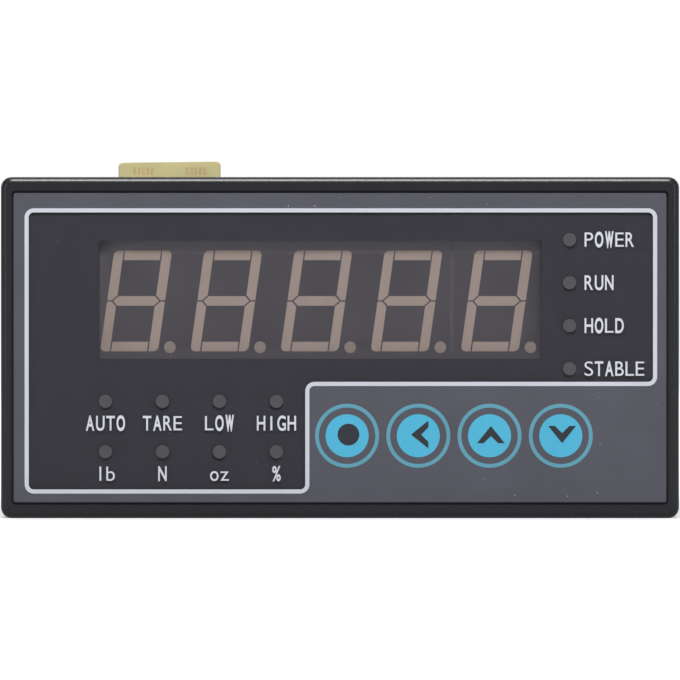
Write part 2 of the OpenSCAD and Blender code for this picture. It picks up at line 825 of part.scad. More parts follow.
// A key: a head in the plate's hole, a flange behind the plate and a stem on the switch's plunger.
module key_cap(i) {
    flange_y = plate_back_y + contact_gap;
    color("#3c3c40")
        union() {
            bar(key_x(i), key_z, seat_y + contact_gap, flange_y + key_flange_t / 2, key_d);
            bar(key_x(i), key_z, flange_y, flange_y + key_flange_t, key_flange_d);
            bar(key_x(i), key_z, flange_y + key_flange_t / 2, plunger_tip_y, key_stem_d);
        }
}

module switch_plunger(i) {
    color("#1c1c1e")
        bar(key_x(i), key_z, plunger_tip_y, switch_face_y + plunger_root, plunger_d);
}

// A switch: a square body on four pins, with a well for its plunger.
module switch_body(i) {
    well_end_y = switch_face_y + plunger_root + key_travel + 2 * plunger_gap;
    color("#2e2e31")
        difference() {
            union() {
                translate([key_x(i), 0, key_z])
                    block(switch_w, switch_w, switch_face_y, board_y);
                for (sx = [-1, 1], sz = [-1, 1])
                    bar(key_x(i) + sx * switch_pin_at, key_z + sz * switch_pin_at,
                        board_y - cut / 2, board_back_y + pin_reach, switch_pin_d);
            }
            bar(key_x(i), key_z, switch_face_y - cut, well_end_y, plunger_d + 2 * plunger_gap);
        }
}

// A row of ventilation slots through the case's upper wall.
module vent_row(y0) {
    for (k = [1:vent_count])
        translate([(k - (vent_count + 1) / 2) * vent_pitch, y0, 0])
            span([-vent_w / 2, 0, case_h / 2 - case_wall - cut], [vent_w / 2, vent_l, case_h / 2 + cut]);
}

// The undercut slot in the case's right side that takes a mounting clamp.
module clamp_slot() {
    face_x = case_w / 2;
    span([face_x - clamp_lip - cut / 2, clamp_y, -clamp_mouth / 2],
         [face_x + cut, clamp_y + clamp_l, clamp_mouth / 2]);
    span([face_x - clamp_depth, clamp_y, -clamp_slot_h / 2],
         [face_x - clamp_lip, clamp_y + clamp_l, clamp_slot_h / 2]);
    span([face_x - clamp_depth, clamp_y + clamp_l, -clamp_slot_h / 2],
         [face_x + cut, clamp_y + clamp_l + clamp_entry_l, clamp_slot_h / 2]);
}

// Two rails on the case's right wall, above and below the main board's edge.
module board_rails() {
    wall_x = inner_w / 2;
    for (z = [main_board_z - rail_gap - rail_t, main_top_z + rail_gap])
        span([wall_x - rail_reach, rail_y, z], [wall_x + case_wall / 2, rail_end_y, z + rail_t]);
}

module case_shell() {
    root_x = inner_w / 2 + case_wall / 2;
    color("#1d1e20")
        difference() {
            union() {
                slab(plate_back_y, case_end_y)
                    difference() {
                        polygon(rounded_outline(case_w, case_h, case_corner_r));
                        polygon(rounded_outline(inner_w, inner_h, case_corner_r / 2));
                    }
                left_and_right() {
                    span([clamp_pad_x, clamp_y - clamp_floor, -clamp_pad_h / 2],
                         [root_x, clamp_y + clamp_l + clamp_entry_l + clamp_floor, clamp_pad_h / 2]);
                    board_rails();
                    intersection() {
                        bar(cover_screw_x, 0, cover_boss_y, case_end_y, cover_boss_d);
                        span([0, 0, -case_h / 2], [root_x, case_end_y, case_h / 2]);
                    }
                }
            }
            above_and_below() {
                for (r = [0:vent_rows - 1])
                    vent_row(vent_y + r * (vent_l + vent_row_gap));
                for (x = [-catch_x, catch_x])
                    translate([x, 0, case_h / 2])
                        span([-catch_w / 2 - catch_gap, catch_y - catch_l - catch_gap, -case_wall - cut],
                             [catch_w / 2 + catch_gap, catch_y + catch_gap, cut]);
            }
            left_and_right() {
                clamp_slot();
                bar(cover_screw_x, 0, case_end_y - cover_screw_hole_l, case_end_y + cut,
                    cover_screw_d + 2 * thread_gap);
            }
        }
}

module main_board() {
    color("#1f5b3a")
        span([-main_board_w / 2, main_board_y, main_board_z],
             [main_board_w / 2, main_board_end_y, main_top_z]);
}

// A pin socket that stands back from the display board, with a square well for each pin.
module link_socket() {
    well_w = link_pin_w + 2 * well_gap;
    color("#18181a")
        difference() {
            span([-link_w / 2, 0, main_board_z - link_t],
                 [link_w / 2, link_socket_l, main_board_z - socket_drop]);
            for (k = [1:link_count])
                translate([(k - (link_count + 1) / 2) * pin_pitch, link_socket_l, link_z])
                    block(well_w, well_w, -well_l, cut);
        }
}

// A strip of pins under the main board that reaches forward into a socket's wells.
module link_pins() {
    color("#b9a15a")
        union() {
            span([-link_w / 2, link_socket_l + link_gap, main_board_z - link_t],
                 [link_w / 2, link_socket_l + link_gap + link_t, main_board_z]);
            for (k = [1:link_count])
                translate([(k - (link_count + 1) / 2) * pin_pitch, link_socket_l, link_z])
                    block(link_pin_w, link_pin_w, -link_pin_reach, link_gap + link_t / 2);
        }
}

// Puts a link behind the display board, or turned round before the terminal board.
module at_front_link() {
    translate([0, board_back_y, 0])
        children();
}

module at_rear_link() {
    translate([0, terminal_board_y, 0])
        mirror([0, 1, 0])
            children();
}

module front_link_socket() {
    at_front_link()
        link_socket();
}

module front_link_pins() {
    at_front_link()
        link_pins();
}

module rear_link_socket() {
    at_rear_link()
        link_socket();
}

module rear_link_pins() {
    at_rear_link()
        link_pins();
}

// The transformer's laminated core: a frame with a middle leg between two windows.
module transformer_core() {
    window = (core_w - 2 * core_yoke - core_leg) / 2;
    color("#6d6f73")
        translate([transformer_x, transformer_y, main_top_z + core_h / 2])
            slab(-core_t / 2, core_t / 2)
                difference() {
                    square([core_w, core_h], center = true);
                    for (s = [-1, 1])
                        translate([s * (core_leg + window) / 2, 0])
                            square([window, core_h - 2 * core_yoke], center = true);
                }
}

// The winding round the core's middle leg.
module transformer_coil() {
    window = (core_w - 2 * core_yoke - core_leg) / 2;
    wind = window - 2 * coil_gap;
    hole = [core_leg + 2 * coil_gap, core_t + 2 * coil_gap];
    height = core_h - 2 * core_yoke - 2 * coil_gap;
    color("#c9a227")
        translate([transformer_x, transformer_y, main_top_z + core_h / 2 - height / 2])
            linear_extrude(height)
                difference() {
                    polygon(rounded_outline(hole.x + 2 * wind, hole.y + 2 * wind, wind / 2));
                    square(hole, center = true);
                }
}

module relay(i) {
    size = relay_size;
    color("#2c5fa8")
        translate([relay_x[i - 1], relay_y, main_top_z])
            linear_extrude(size.z)
                polygon(rounded_outline(size.x, size.y, relay_corner_r));
}

// Standing capacitors, each with a pinched groove above its base.
module capacitors() {
    r = capacitor_d / 2;
    neck = capacitor_foot + capacitor_groove;
    color("#20304a")
        for (x = capacitor_x)
            translate([x, capacitor_y, main_top_z])
                rotate_extrude()
                    polygon([[0, 0], [r, 0], [r, capacitor_foot], [r - capacitor_groove, neck],
                             [r, neck + capacitor_groove], [r, capacitor_h - capacitor_edge],
                             [r - capacitor_edge, capacitor_h], [0, capacitor_h]]);
}

// A flat chip at a place on the main board, with a row of leads along each of its chosen sides.
module chip(x, w, sides) {
    lead_count = floor((w - 2 * chip_lead_w) / chip_lead_pitch);
    color("#1a1a1c")
        translate([x, chip_y, main_top_z])
            union() {
                span([-w / 2, -w / 2, chip_lift], [w / 2, w / 2, chip_t]);
                for (turn = sides, k = [1:lead_count])
                    rotate([0, 0, turn])
                        translate([(k - (lead_count + 1) / 2) * chip_lead_pitch, w / 2, 0])
                            span([-chip_lead_w / 2, -chip_lead_w, 0],
                                 [chip_lead_w / 2, chip_lead_l, chip_lead_w]);
            }
}

module controller_chip() {
    chip(controller_x, controller_w, [0, 90, 180, 270]);
}

module converter_chip() {
    chip(converter_x, converter_w, [90, 270]);
}

// One row of the terminal base, above the middle: a ledge, an inner wall and the barriers.
module terminal_row() {
    half = terminal_count * terminal_pitch / 2 + barrier_t / 2;
    root_y = base_y - base_t / 2;
    top_y = base_y + barrier_h;
    span([-half, root_y, terminal_inner_z], [half, ledge_y, ledge_outer_z]);
    span([-half, root_y, terminal_inner_z], [half, top_y, terminal_inner_z + barrier_t]);
    for (i = [0:terminal_count])
        translate([(i - terminal_count / 2) * terminal_pitch, 0, 0])
            span([-barrier_t / 2, root_y, terminal_inner_z], [barrier_t / 2, top_y, terminal_outer_z]);
}

// A terminal tab's leg at place x, above the middle, grown by a gap on its sides.
module terminal_leg(x, y0, y1, gap) {
    translate([x, 0, 0])
        span([-leg_w / 2 - gap, y0, tab_inner_z - gap], [leg_w / 2 + gap, y1, tab_inner_z + tab_t + gap]);
}

module terminal_base() {
    color("#17181a")
        difference() {
            union() {
                slab(case_end_y, base_y)
                    polygon(rounded_outline(case_w, case_h, case_corner_r));
                above_and_below() {
                    terminal_row();
                    span([-locator_w / 2, case_end_y - locator_l, inner_h / 2 - slip - locator_t],
                         [locator_w / 2, case_end_y + base_t / 2, inner_h / 2 - slip]);
                }
            }
            above_and_below()
                for (i = [1:terminal_count]) {
                    bar(terminal_x(i), terminal_z, ledge_y - screw_hole_l, ledge_y + cut,
                        screw_d + 2 * hole_gap);
                    terminal_leg(terminal_x(i), case_end_y - cut, ledge_y + cut, leg_gap);
                }
            left_and_right()
                bar(cover_screw_x, 0, case_end_y - cut, base_y + cut, cover_screw_d + 2 * hole_gap);
        }
}

// The tabs that wires are screwed to, each with a leg through the base to the terminal board.
module terminal_tabs() {
    color("#c8b273")
        above_and_below()
            for (i = [1:terminal_count])
                difference() {
                    union() {
                        translate([terminal_x(i), 0, 0])
                            span([-tab_w / 2, ledge_y, tab_inner_z],
                                 [tab_w / 2, ledge_y + tab_t, tab_outer_z]);
                        terminal_leg(terminal_x(i), leg_end_y, ledge_y + tab_t / 2, 0);
                    }
                    bar(terminal_x(i), terminal_z, ledge_y - cut, ledge_y + tab_t + cut,
                        screw_d + 2 * thread_gap);
                }
}

module terminal_washers() {
    color("silver")
        above_and_below()
            for (i = [1:terminal_count])
                translate([terminal_x(i), 0, terminal_z])
                    slab(ledge_y + tab_t, screw_seat_y)
                        difference() {
                            square(washer_w, center = true);
                            circle(d = screw_d + 2 * hole_gap);
                        }
}

module terminal_screws() {
    color("silver")
        for (i = [1:terminal_count], s = [-1, 1])
            screw(terminal_x(i), screw_seat_y, s * terminal_z, screw_d, screw_l, screw_head_d, screw_head_h);
}

module terminal_board() {
    back_y = terminal_board_y + board_t;
    color("#1f5b3a")
        difference() {
            span([-terminal_board_w / 2, terminal_board_y, terminal_board_low_z],
                 [terminal_board_w / 2, back_y, terminal_board_top_z]);
            above_and_below()
                for (i = [1:terminal_count])
                    terminal_leg(terminal_x(i), terminal_board_y - cut, back_y + cut, leg_gap);
        }
}

module cover_screws() {
    color("#8a8c90")
        for (s = [-1, 1])
            screw(s * cover_screw_x, base_y, 0, cover_screw_d, cover_screw_l + base_t,
                  cover_screw_head_d, cover_screw_head_h);
}

// The label: a foot stuck to the case's top and a free end that has peeled up behind the bezel.
module seal_label() {
    centre = [label_y + label_bend_r, case_h / 2 + label_t / 2 + label_bend_r];
    inside_r = label_bend_r - label_t / 2;
    outside_r = label_bend_r + label_t / 2;
    stop = 180 - label_lean;
    rise = (label_top_z - centre.y - label_bend_r * sin(stop)) / cos(label_lean);
    up = rise * [sin(label_lean), cos(label_lean)];
    function bend(r, from, to) = arc(centre, r, from, to, 2 * corner_steps);
    function tip(r) = centre + r * [cos(stop), sin(stop)] + up;
    foot_end = label_y + label_foot;
    low_z = case_h / 2 - label_corner_room;
    color("#c8bd8a")
        intersection() {
            section(label_x - label_w / 2, label_x + label_w / 2)
                polygon(concat([[foot_end, case_h / 2]],
                               bend(outside_r, 270, stop),
                               [tip(outside_r), tip(inside_r)],
                               bend(inside_r, stop, 270),
                               [[foot_end, case_h / 2 + label_t]]));
            translate([label_x, 0, (label_top_z + low_z) / 2])
                slab(label_y - cut, foot_end + cut)
                    polygon(rounded_outline(label_w, label_top_z - low_z, label_corner_r));
        }
}

front_bezel();
front_film();
grey_print();
line_print();
ring_prints();
disc_prints();
symbol_prints();
quad_digit_block();
quad_digit_strokes();
single_digit_block();
single_digit_strokes();
display_board();
display_board_screws();
case_shell();
main_board();
front_link_socket();
front_link_pins();
rear_link_socket();
rear_link_pins();
transformer_core();
transformer_coil();
capacitors();
controller_chip();
converter_chip();
terminal_board();
terminal_base();
terminal_tabs();
terminal_washers();
terminal_screws();
cover_screws();
seal_label();
for (i = [1:relay_count])
    relay(i);
for (i = key_ids) {
    key_cap(i);
    switch_plunger(i);
    switch_body(i);
}
for (i = lamp_ids) {
    lamp(status_lamp_at(i));
    lamp(output_lamp_at(i));
    lamp(unit_lamp_at(i));
}
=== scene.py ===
"""Looks of a panel-mounted weighing indicator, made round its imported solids.

Drawings of the front are in millimetres about the middle of the bezel, X to the right and Z up.
"""
import json
import math

import bmesh
import bpy
from mathutils import Matrix, Vector
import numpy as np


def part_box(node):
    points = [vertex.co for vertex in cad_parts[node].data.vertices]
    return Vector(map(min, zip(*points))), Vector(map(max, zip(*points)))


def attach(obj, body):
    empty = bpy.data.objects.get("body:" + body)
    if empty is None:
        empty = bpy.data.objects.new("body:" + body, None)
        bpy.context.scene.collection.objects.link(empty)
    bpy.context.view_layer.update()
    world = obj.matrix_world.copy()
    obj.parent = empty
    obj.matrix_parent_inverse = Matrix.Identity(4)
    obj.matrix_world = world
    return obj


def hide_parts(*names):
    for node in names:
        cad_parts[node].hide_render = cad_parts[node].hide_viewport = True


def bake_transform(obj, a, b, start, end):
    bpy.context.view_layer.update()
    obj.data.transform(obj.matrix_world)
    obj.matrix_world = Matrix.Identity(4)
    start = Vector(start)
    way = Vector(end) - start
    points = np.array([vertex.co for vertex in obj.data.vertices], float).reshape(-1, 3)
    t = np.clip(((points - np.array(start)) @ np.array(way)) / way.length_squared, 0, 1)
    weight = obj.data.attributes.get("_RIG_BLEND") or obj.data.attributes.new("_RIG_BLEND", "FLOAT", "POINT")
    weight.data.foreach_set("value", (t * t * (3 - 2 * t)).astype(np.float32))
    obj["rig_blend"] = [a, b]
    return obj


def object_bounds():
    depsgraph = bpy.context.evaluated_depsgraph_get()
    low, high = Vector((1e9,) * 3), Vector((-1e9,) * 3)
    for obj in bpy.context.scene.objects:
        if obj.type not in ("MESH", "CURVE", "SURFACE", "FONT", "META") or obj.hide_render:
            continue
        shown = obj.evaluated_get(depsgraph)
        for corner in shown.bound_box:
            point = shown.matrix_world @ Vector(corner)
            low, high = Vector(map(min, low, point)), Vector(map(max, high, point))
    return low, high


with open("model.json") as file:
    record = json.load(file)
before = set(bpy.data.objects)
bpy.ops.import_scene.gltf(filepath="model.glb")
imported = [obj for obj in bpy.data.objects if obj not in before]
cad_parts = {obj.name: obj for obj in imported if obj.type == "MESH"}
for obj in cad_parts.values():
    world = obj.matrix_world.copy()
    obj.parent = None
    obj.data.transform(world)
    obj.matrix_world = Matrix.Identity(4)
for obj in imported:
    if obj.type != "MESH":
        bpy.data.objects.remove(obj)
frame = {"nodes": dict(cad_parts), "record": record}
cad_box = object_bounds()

MM = 0.001
ARC_STEPS = 8            # straight pieces in a quarter turn of an outline
CIRCLE_STEPS = 96        # straight pieces in a full circle
WELD = 1e-7              # points closer than this, in metres, are one
UPRIGHT = Matrix.Rotation(math.radians(90), 4, "X")
FACING_FRONT = Matrix.Identity(4)
FACING_BACK = Matrix.Rotation(math.radians(180), 4, "Z")
WHITE = (1.0, 1.0, 1.0, 1.0)


def middle(node):
    """The middle of a CAD node in the front's drawing, in millimetres."""
    low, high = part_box(node)
    return (low.x + high.x) / 2 / MM, (low.z + high.z) / 2 / MM


# Stations of the film, from the frame
film_low, film_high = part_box("front_film")
FILM_FRONT = film_low.y / MM
SEAT_GAP = 0.03          # room between the film and the plate behind it
FILM_BACK = film_high.y / MM - SEAT_GAP
PRINT_RISE = 0.02        # how far print stands out of the film
PRINT_ROOT = 0.02        # how deep print is rooted in the film
FILM_CORNER_R = 0.3

# The white line round the smoked window. The lower part of the window stops at the step.
LINE_W = 0.58
STEP_X, STEP_Z = -4.6, -5.1
LINE_CORNER_R = 1.0
line_low, line_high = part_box("line_print")
LINE_LEFT, LINE_RIGHT = line_low.x / MM + LINE_W / 2, line_high.x / MM - LINE_W / 2
LINE_BOTTOM, LINE_TOP = line_low.z / MM + LINE_W / 2, line_high.z / MM - LINE_W / 2
window_corners = [(LINE_LEFT, LINE_BOTTOM), (STEP_X, LINE_BOTTOM), (STEP_X, STEP_Z), (LINE_RIGHT, STEP_Z),
                  (LINE_RIGHT, LINE_TOP), (LINE_LEFT, LINE_TOP)]

# Keys: a coloured disc that moves, a flexing ring of film round it and a printed ring round that
KEYS = (1, 2, 3, 4)
DISC_R = 3.025
FLEX_R = 3.98
RING_INNER_R, RING_OUTER_R = 3.97, 4.5
DOT_R = 1.53
SYMBOL_SHIFT = (0.19, 0.17)
ARROW_DEPTH, ARROW_ACROSS = 2.44, 3.92
ARROW_WAIST = 1.43       # from an arrow's tip to the bottom of its notch
ARROW_GAPE = 2.04        # between the inner corners of an arrow's arms
ARROW_TURNS = {2: 180, 3: 90, 4: 270}
FLEX_STEPS = 8

# Round windows in the smoked print, one before each lamp
LAMPS = [f"{row}_lamp_{i}" for row in ("status", "output", "unit") for i in (1, 2, 3, 4)]
LAMP_WINDOW_R = 0.93

# Legends beside the lamps, in plain words
CAP_H = 2.0
LETTER_PITCH = 1.44
LETTER_W = 1.2           # width of a letter, apart from the slim ones
SLIM_SHARE = 0.65        # a letter slimmer than this share of the letter width keeps its own width
STEM_W = 0.25            # width of a letter's upright strokes
STATUS_TEXT_X = 34.4
LEGEND_DROP = 3.08       # from a lamp to the legend below it
STATUS_WORDS = ("POWER", "RUN", "HOLD", "STABLE")
OUTPUT_WORDS = ("AUTO", "TARE", "LOW", "HIGH")
UNIT_WORDS = ("lb", "N", "oz", "%")


# Outlines
def circle(centre, radius):
    """The points of a circle in a drawing."""
    turns = [2 * math.pi * k / CIRCLE_STEPS for k in range(CIRCLE_STEPS)]
    return [(centre[0] + radius * math.cos(a), centre[1] + radius * math.sin(a)) for a in turns]


def rounded(corners, radius, grow=0.0):
    """An outline with square corners, given anticlockwise, its edges moved out and its corners rounded."""
    points = []
    for before, corner, after in zip(corners[-1:] + corners[:-1], corners, corners[1:] + corners[:1]):
        into = (Vector(corner) - Vector(before)).normalized()
        out = (Vector(after) - Vector(corner)).normalized()
        turn = into.x * out.y - into.y * out.x
        outwards = Vector((into.y + out.y, -into.x - out.x))
        arc_r = radius + turn * grow
        centre = Vector(corner) + outwards * (grow - turn * arc_r)
        start = math.atan2(-into.x * turn, into.y * turn)
        for k in range(ARC_STEPS + 1):
            a = start + turn * math.pi / 2 * k / ARC_STEPS
            points.append((centre.x + arc_r * math.cos(a), centre.y + arc_r * math.sin(a)))
    return points


def rectangle(left, right, bottom, top):
    """The corners of a rectangle, anticlockwise."""
    return [(left, bottom), (right, bottom), (right, top), (left, top)]


# Objects and meshes
def linked(name, data):
    """A new object in the scene."""
    made = bpy.data.objects.new(name, data)
    bpy.context.scene.collection.objects.link(made)
    return made


def shown_mesh(holder):
    """The mesh of an object as it shows, with its modifiers."""
    return bpy.data.meshes.new_from_object(holder.evaluated_get(bpy.context.evaluated_depsgraph_get()))


def mesh_of(form, name):
    """A built form as a mesh."""
    mesh = bpy.data.meshes.new(name)
    form.to_mesh(mesh)
    form.free()
    return mesh


def closed_up(mesh):
    """Welds a mesh's doubled points and turns its faces outwards."""
    form = bmesh.new()
    form.from_mesh(mesh)
    bmesh.ops.remove_doubles(form, verts=form.verts, dist=WELD)
    bmesh.ops.recalc_face_normals(form, faces=form.faces)
    form.to_mesh(mesh)
    form.free()
    return mesh


def evaluated_mesh(name, data):
    """The plain mesh of a curve or text."""
    holder = linked(name, data)
    mesh = shown_mesh(holder)
    bpy.data.objects.remove(holder)
    mesh.name = name
    return mesh


def sheet_mesh(name, outlines, front, back):
    """A drawing with its holes as a closed sheet from y = front to y = back."""
    drawing = bpy.data.curves.new(name, "CURVE")
    drawing.dimensions = "2D"
    drawing.fill_mode = "BOTH"
    drawing.extrude = (back - front) / 2
    for outline in outlines:
        spline = drawing.splines.new("POLY")
        spline.points.add(len(outline) - 1)
        for point, (x, z) in zip(spline.points, outline):
            point.co = (x, z, 0, 1)
        spline.use_cyclic_u = True
    mesh = evaluated_mesh(name, drawing)
    mesh.transform(Matrix.Scale(MM, 4) @ Matrix.Translation((0, (front + back) / 2, 0)) @ UPRIGHT)
    return closed_up(mesh)


def film_mesh(name, outlines):
    """A piece of the film, through its whole thickness."""
    return sheet_mesh(name, outlines, FILM_FRONT, FILM_BACK)


def print_mesh(name, outlines):
    """Print that stands a little out of the film."""
    return sheet_mesh(name, outlines, FILM_FRONT - PRINT_RISE, FILM_FRONT + PRINT_ROOT)


def turned_mesh(name, section, centre):
    """A section of (radius, y) points, turned about the line along Y through centre, in millimetres.

    A section that doesn't start and end on that line is a closed ring.
    """
    form = bmesh.new()
    on_line = section[0][0] == 0 and section[-1][0] == 0
    following = section[1:] if on_line else section[1:] + section[:1]
    turns = [2 * math.pi * k / CIRCLE_STEPS for k in range(CIRCLE_STEPS + 1)]
    for a, b in zip(turns, turns[1:]):
        for (r0, y0), (r1, y1) in zip(section, following):
            spots = []
            for r, y, t in ((r0, y0, a), (r1, y1, a), (r1, y1, b), (r0, y0, b)):
                spots.append(Vector((centre[0] + r * math.cos(t), y, centre[1] + r * math.sin(t))) * MM)
            kept = [p for i, p in enumerate(spots) if (p - spots[i - 1]).length > WELD]
            form.faces.new([form.verts.new(p) for p in kept])
    return closed_up(mesh_of(form, name))


def joined_mesh(name, meshes):
    """Several meshes as one."""
    form = bmesh.new()
    for mesh in meshes:
        form.from_mesh(mesh)
        bpy.data.meshes.remove(mesh)
    return mesh_of(form, name)


def letter_form(letter, weight=0.0):
    """A letter as a text with its outlines grown by weight, and their corners when its size is one."""
    text = bpy.data.curves.new("letter", "FONT")
    text.body = letter
    text.offset = weight
    mesh = evaluated_mesh("letter", text)
    spots = [v.co for v in mesh.vertices]
    low = Vector((min(p.x for p in spots), min(p.y for p in spots)))
    high = Vector((max(p.x for p in spots), max(p.y for p in spots)))
    bpy.data.meshes.remove(mesh)
    return text, low, high


def letter_mesh(letter, centre, width, cap_h, station, turn):
    """A letter, cut to that width and capital height, as raised print on the face at y = station."""
    _, cap_low, cap_high = letter_form("H")
    _, stem_low, stem_high = letter_form("l")
    _, low, high = letter_form(letter)
    size = cap_h / (cap_high.y - cap_low.y)
    own_width = (high.x - low.x) * size
    width = own_width if own_width < SLIM_SHARE * width else width
    weight = (STEM_W * (high.x - low.x) / width - (stem_high.x - stem_low.x)) / 2
    text, low, high = letter_form(letter, weight)
    text.extrude = (PRINT_RISE + PRINT_ROOT) / 2 / size
    mesh = evaluated_mesh(letter, text)
    to_middle = Matrix.Translation((-(low.x + high.x) / 2, -(cap_low.y + cap_high.y) / 2, 0))
    to_size = Matrix.Diagonal((width / (high.x - low.x), size, size, 1))
    to_face = Matrix.Translation((0, (PRINT_ROOT - PRINT_RISE) / 2, 0))
    to_place = Matrix.Translation((centre[0], station, centre[1]))
    mesh.transform(Matrix.Scale(MM, 4) @ to_place @ turn @ to_face @ UPRIGHT @ to_size @ to_middle)
    return closed_up(mesh)


def word_meshes(word, centre, pitch, width, cap_h, station, turn=FACING_FRONT):
    """A word's letters, each in a cell of the same width."""
    made = []
    along = -1 if turn == FACING_BACK else 1
    for i, letter in enumerate(word):
        x = centre[0] + along * (i - (len(word) - 1) / 2) * pitch
        made.append(letter_mesh(letter, (x, centre[1]), width, cap_h, station, turn))
    return made


def piece(name, mesh, material, body="root"):
    """A finished piece that rides on a body."""
    made = linked(name, mesh)
    mesh.materials.clear()
    mesh.materials.append(material)
    if body:
        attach(made, body)
    return made


# Shader building
MIX_FACTOR, MIX_A, MIX_B, MIX_RESULT = 0, 6, 7, 2     # the colour sockets of a Mix node


def add_node(tree, kind, inputs=None, **settings):
    """A node with its settings, whose inputs are set to values or joined to other sockets."""
    made = tree.nodes.new(kind)
    for setting, value in settings.items():
        setattr(made, setting, value)
    for key, value in (inputs or {}).items():
        if isinstance(value, bpy.types.NodeSocket):
            tree.links.new(value, made.inputs[key])
        else:
            made.inputs[key].default_value = value
    return made


def mixed(tree, factor, a, b, **settings):
    """A colour between a and b."""
    inputs = {MIX_FACTOR: factor, MIX_A: a, MIX_B: b}
    return add_node(tree, "ShaderNodeMix", inputs, data_type="RGBA", **settings).outputs[MIX_RESULT]


def ranged(tree, value, low, high, source_low=0.0, source_high=1.0):
    """A value drawn out from its own range to low and high."""
    inputs = {"Value": value, "From Min": source_low, "From Max": source_high, "To Min": low, "To Max": high}
    return add_node(tree, "ShaderNodeMapRange", inputs).outputs["Result"]


def worked(tree, operation, *values):
    """A Math node's result."""
    return add_node(tree, "ShaderNodeMath", dict(enumerate(values)), operation=operation).outputs[0]


def within(tree, value, middle_value, half):
    """1 where a value lies within half of a middle, else 0."""
    return worked(tree, "COMPARE", value, middle_value, half)


def parted(tree, space):
    """The X, Y and Z of the surface's place (space Object) or direction (space Normal)."""
    vector = add_node(tree, "ShaderNodeTexCoord").outputs[space]
    return add_node(tree, "ShaderNodeSeparateXYZ", {"Vector": vector}).outputs


def new_group(name, inputs, outputs):
    """An empty shader group with named float inputs and outputs."""
    group = bpy.data.node_groups.new(name, "ShaderNodeTree")
    for socket, value in inputs.items():
        made = group.interface.new_socket(socket, in_out="INPUT", socket_type="NodeSocketFloat")
        made.default_value = value
    for socket in outputs:
        group.interface.new_socket(socket, in_out="OUTPUT", socket_type="NodeSocketFloat")
    return group, group.nodes.new("NodeGroupInput"), group.nodes.new("NodeGroupOutput")


# Surface groups, with sizes in millimetres
GRAIN_SIZE, BLOTCH_SIZE = 0.2, 8.0
GRAIN_DETAIL, BLOTCH_DETAIL = 3.0, 4.0
NOISE_LOW, NOISE_HIGH = 0.3, 0.7     # the range of a noise that is drawn out to 0 to 1
SPECK_SPACING, SPECK_SIZE, SPECK_SHARE = 4.0, 0.1, 0.5
SPECK_LEAST = 0.4                    # size of the smallest specks, as a share of the largest


def surface_grain_group():
    """Fine grain and broad soft blotches, both from 0 to 1."""
    sizes = {"Grain Size": GRAIN_SIZE, "Blotch Size": BLOTCH_SIZE}
    group, given, result = new_group("surface grain", sizes, ("Grain", "Blotch"))
    place = add_node(group, "ShaderNodeTexCoord").outputs["Object"]
    for output, detail in (("Grain", GRAIN_DETAIL), ("Blotch", BLOTCH_DETAIL)):
        scale = worked(group, "DIVIDE", 1 / MM, given.outputs[f"{output} Size"])
        noise = add_node(group, "ShaderNodeTexNoise", {"Vector": place, "Scale": scale, "Detail": detail})
        spread = ranged(group, noise.outputs["Fac"], 0.0, 1.0, NOISE_LOW, NOISE_HIGH)
        group.links.new(spread, result.inputs[output])
    return group


def lint_group():
    """Sparse specks of lint on a face towards the front, 1 on a speck."""
    inputs = {"Spacing": SPECK_SPACING, "Speck Size": SPECK_SIZE, "Share": SPECK_SHARE}
    group, given, result = new_group("lint specks", inputs, ("Speck",))
    spot = parted(group, "Object")
    place = add_node(group, "ShaderNodeCombineXYZ", {"X": spot["X"], "Y": spot["Z"]})
    scale = worked(group, "DIVIDE", 1 / MM, given.outputs["Spacing"])
    cells = add_node(group, "ShaderNodeTexVoronoi", {"Vector": place.outputs["Vector"], "Scale": scale},
                     voronoi_dimensions="2D")
    picked = add_node(group, "ShaderNodeSeparateColor", {"Color": cells.outputs["Color"]})
    share = ranged(group, picked.outputs["Green"], SPECK_LEAST, 1.0)
    reach = worked(group, "DIVIDE", given.outputs["Speck Size"], given.outputs["Spacing"])
    near = worked(group, "LESS_THAN", cells.outputs["Distance"], worked(group, "MULTIPLY", reach, share))
    chosen = worked(group, "LESS_THAN", picked.outputs["Red"], given.outputs["Share"])
    group.links.new(worked(group, "MULTIPLY", near, chosen), result.inputs["Speck"])
    return group


GRAIN = surface_grain_group()
LINT = lint_group()


# Finishes in general
ROUGHNESS_SPREAD = 0.05     # how far the grain changes a finish's roughness, up and down
LINT_COLOUR = (0.35, 0.35, 0.36, 1.0)
INK_ROUGHNESS, INK_GLOSS = 0.5, 0.25


def new_material(name):
    """A material, its tree and its shader."""
    material = bpy.data.materials.new(name)
    material.use_nodes = True
    return material, material.node_tree, material.node_tree.nodes["Principled BSDF"]


def tinted(colour, share):
    """A colour made lighter or darker by a share, with a full alpha."""
    return tuple(min(1.0, c * (1 + share)) for c in colour) + (1.0,)


